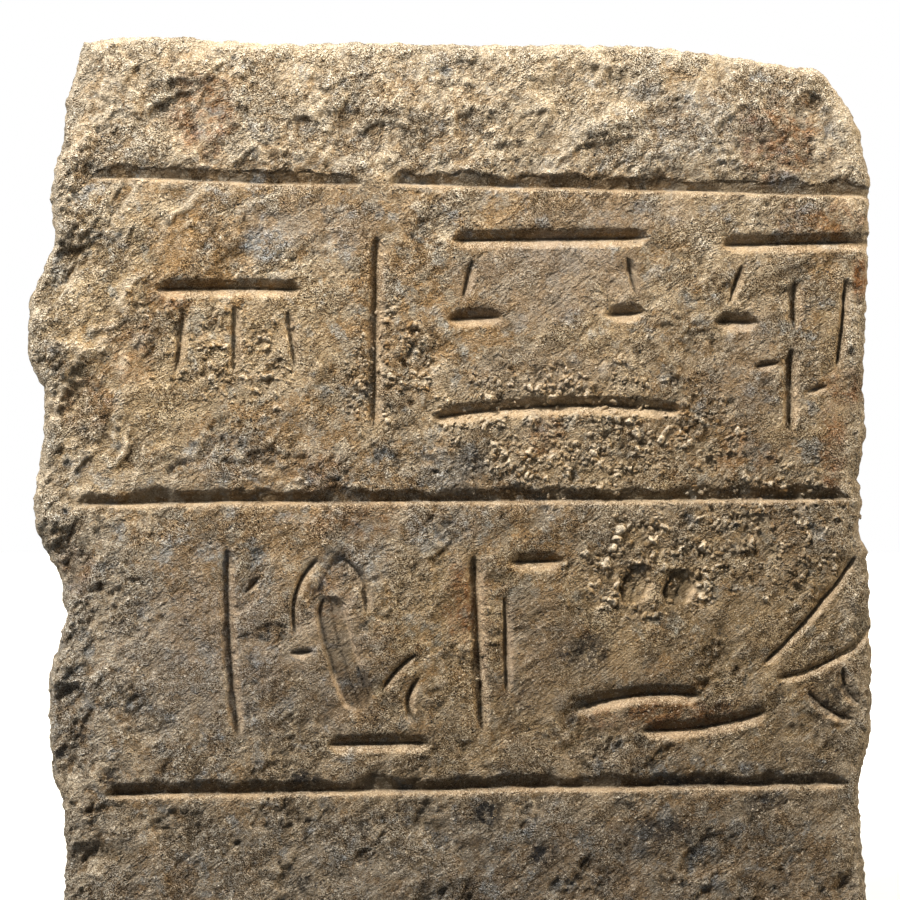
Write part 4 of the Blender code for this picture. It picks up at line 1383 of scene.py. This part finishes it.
def light_world(studio):
    """A world that the camera sees as white and that lights the block faintly from all round."""
    world = bpy.data.worlds.new("studio")
    bpy.context.scene.world = world
    world.use_nodes = True
    nodes, links = world.node_tree.nodes, world.node_tree.links
    seen, around = nodes["Background"], nodes.new("ShaderNodeBackground")
    seen.inputs["Color"].default_value = WHITE
    around.inputs["Color"].default_value = SKY_TINT
    around.inputs["Strength"].default_value = studio.ambient
    path, mix = nodes.new("ShaderNodeLightPath"), nodes.new("ShaderNodeMixShader")
    links.new(path.outputs["Is Camera Ray"], mix.inputs["Fac"])
    links.new(around.outputs["Background"], mix.inputs[1])
    links.new(seen.outputs["Background"], mix.inputs[2])
    links.new(mix.outputs["Shader"], nodes["World Output"].inputs["Surface"])


def add_camera(studio, block):
    """The camera, square to the face: it stands off by view width times lens over sensor width."""
    data = bpy.data.cameras.new("front_camera")
    data.lens = studio.lens
    away = studio.view_width * studio.lens / data.sensor_width
    camera = new_object("front_camera", data)
    camera.location = (CAMERA_ASIDE, studio.outline_depth - block.thickness / 2 - away, studio.view_height)
    camera.rotation_euler = (math.radians(90), 0.0, 0.0)
    bpy.context.scene.camera = camera


class RELIEF_OT_studio(bpy.types.Operator):
    """Make the pale floor, the lights and the camera"""

    bl_idname = "relief.studio"
    bl_label = "Studio"

    def execute(self, context):
        studio = context.scene.relief_studio
        block = context.scene.relief_block
        add_floor(studio)
        add_lamps(studio, block)
        light_world(studio)
        add_camera(studio, block)
        context.scene.view_settings.view_transform = "Standard"
        return {"FINISHED"}


class RELIEF_PT_panel(bpy.types.Panel):
    """Lists the block's settings and pieces"""

    bl_label = "Limestone relief"
    bl_idname = "RELIEF_PT_panel"
    bl_space_type = "VIEW_3D"
    bl_region_type = "UI"
    bl_category = "Relief"

    def draw(self, context):
        scene = context.scene
        for title, settings in (
            ("Block", scene.relief_block),
            ("Finish", scene.relief_finish),
            ("Studio", scene.relief_studio),
        ):
            box = self.layout.box()
            box.label(text=title)
            for name in settings.__annotations__:
                box.prop(settings, name)
        for operator in OPERATORS:
            self.layout.operator(operator.bl_idname)


SETTINGS = {
    "relief_block": ReliefBlockSettings,
    "relief_finish": ReliefFinishSettings,
    "relief_studio": ReliefStudioSettings,
}
OPERATORS = (RELIEF_OT_studio, RELIEF_OT_stone, RELIEF_OT_crust, RELIEF_OT_crumbs)


def register():
    for made in (*SETTINGS.values(), *OPERATORS, RELIEF_PT_panel):
        bpy.utils.register_class(made)
    for name, settings in SETTINGS.items():
        setattr(bpy.types.Scene, name, PointerProperty(type=settings))


def unregister():
    for name in SETTINGS:
        delattr(bpy.types.Scene, name)
    for made in (RELIEF_PT_panel, *reversed(OPERATORS), *SETTINGS.values()):
        bpy.utils.unregister_class(made)


def main():
    register()
    bpy.ops.relief.studio()
    bpy.ops.relief.stone()
    bpy.ops.relief.crust()
    bpy.ops.relief.crumbs()


if __name__ == "__main__":
    main()
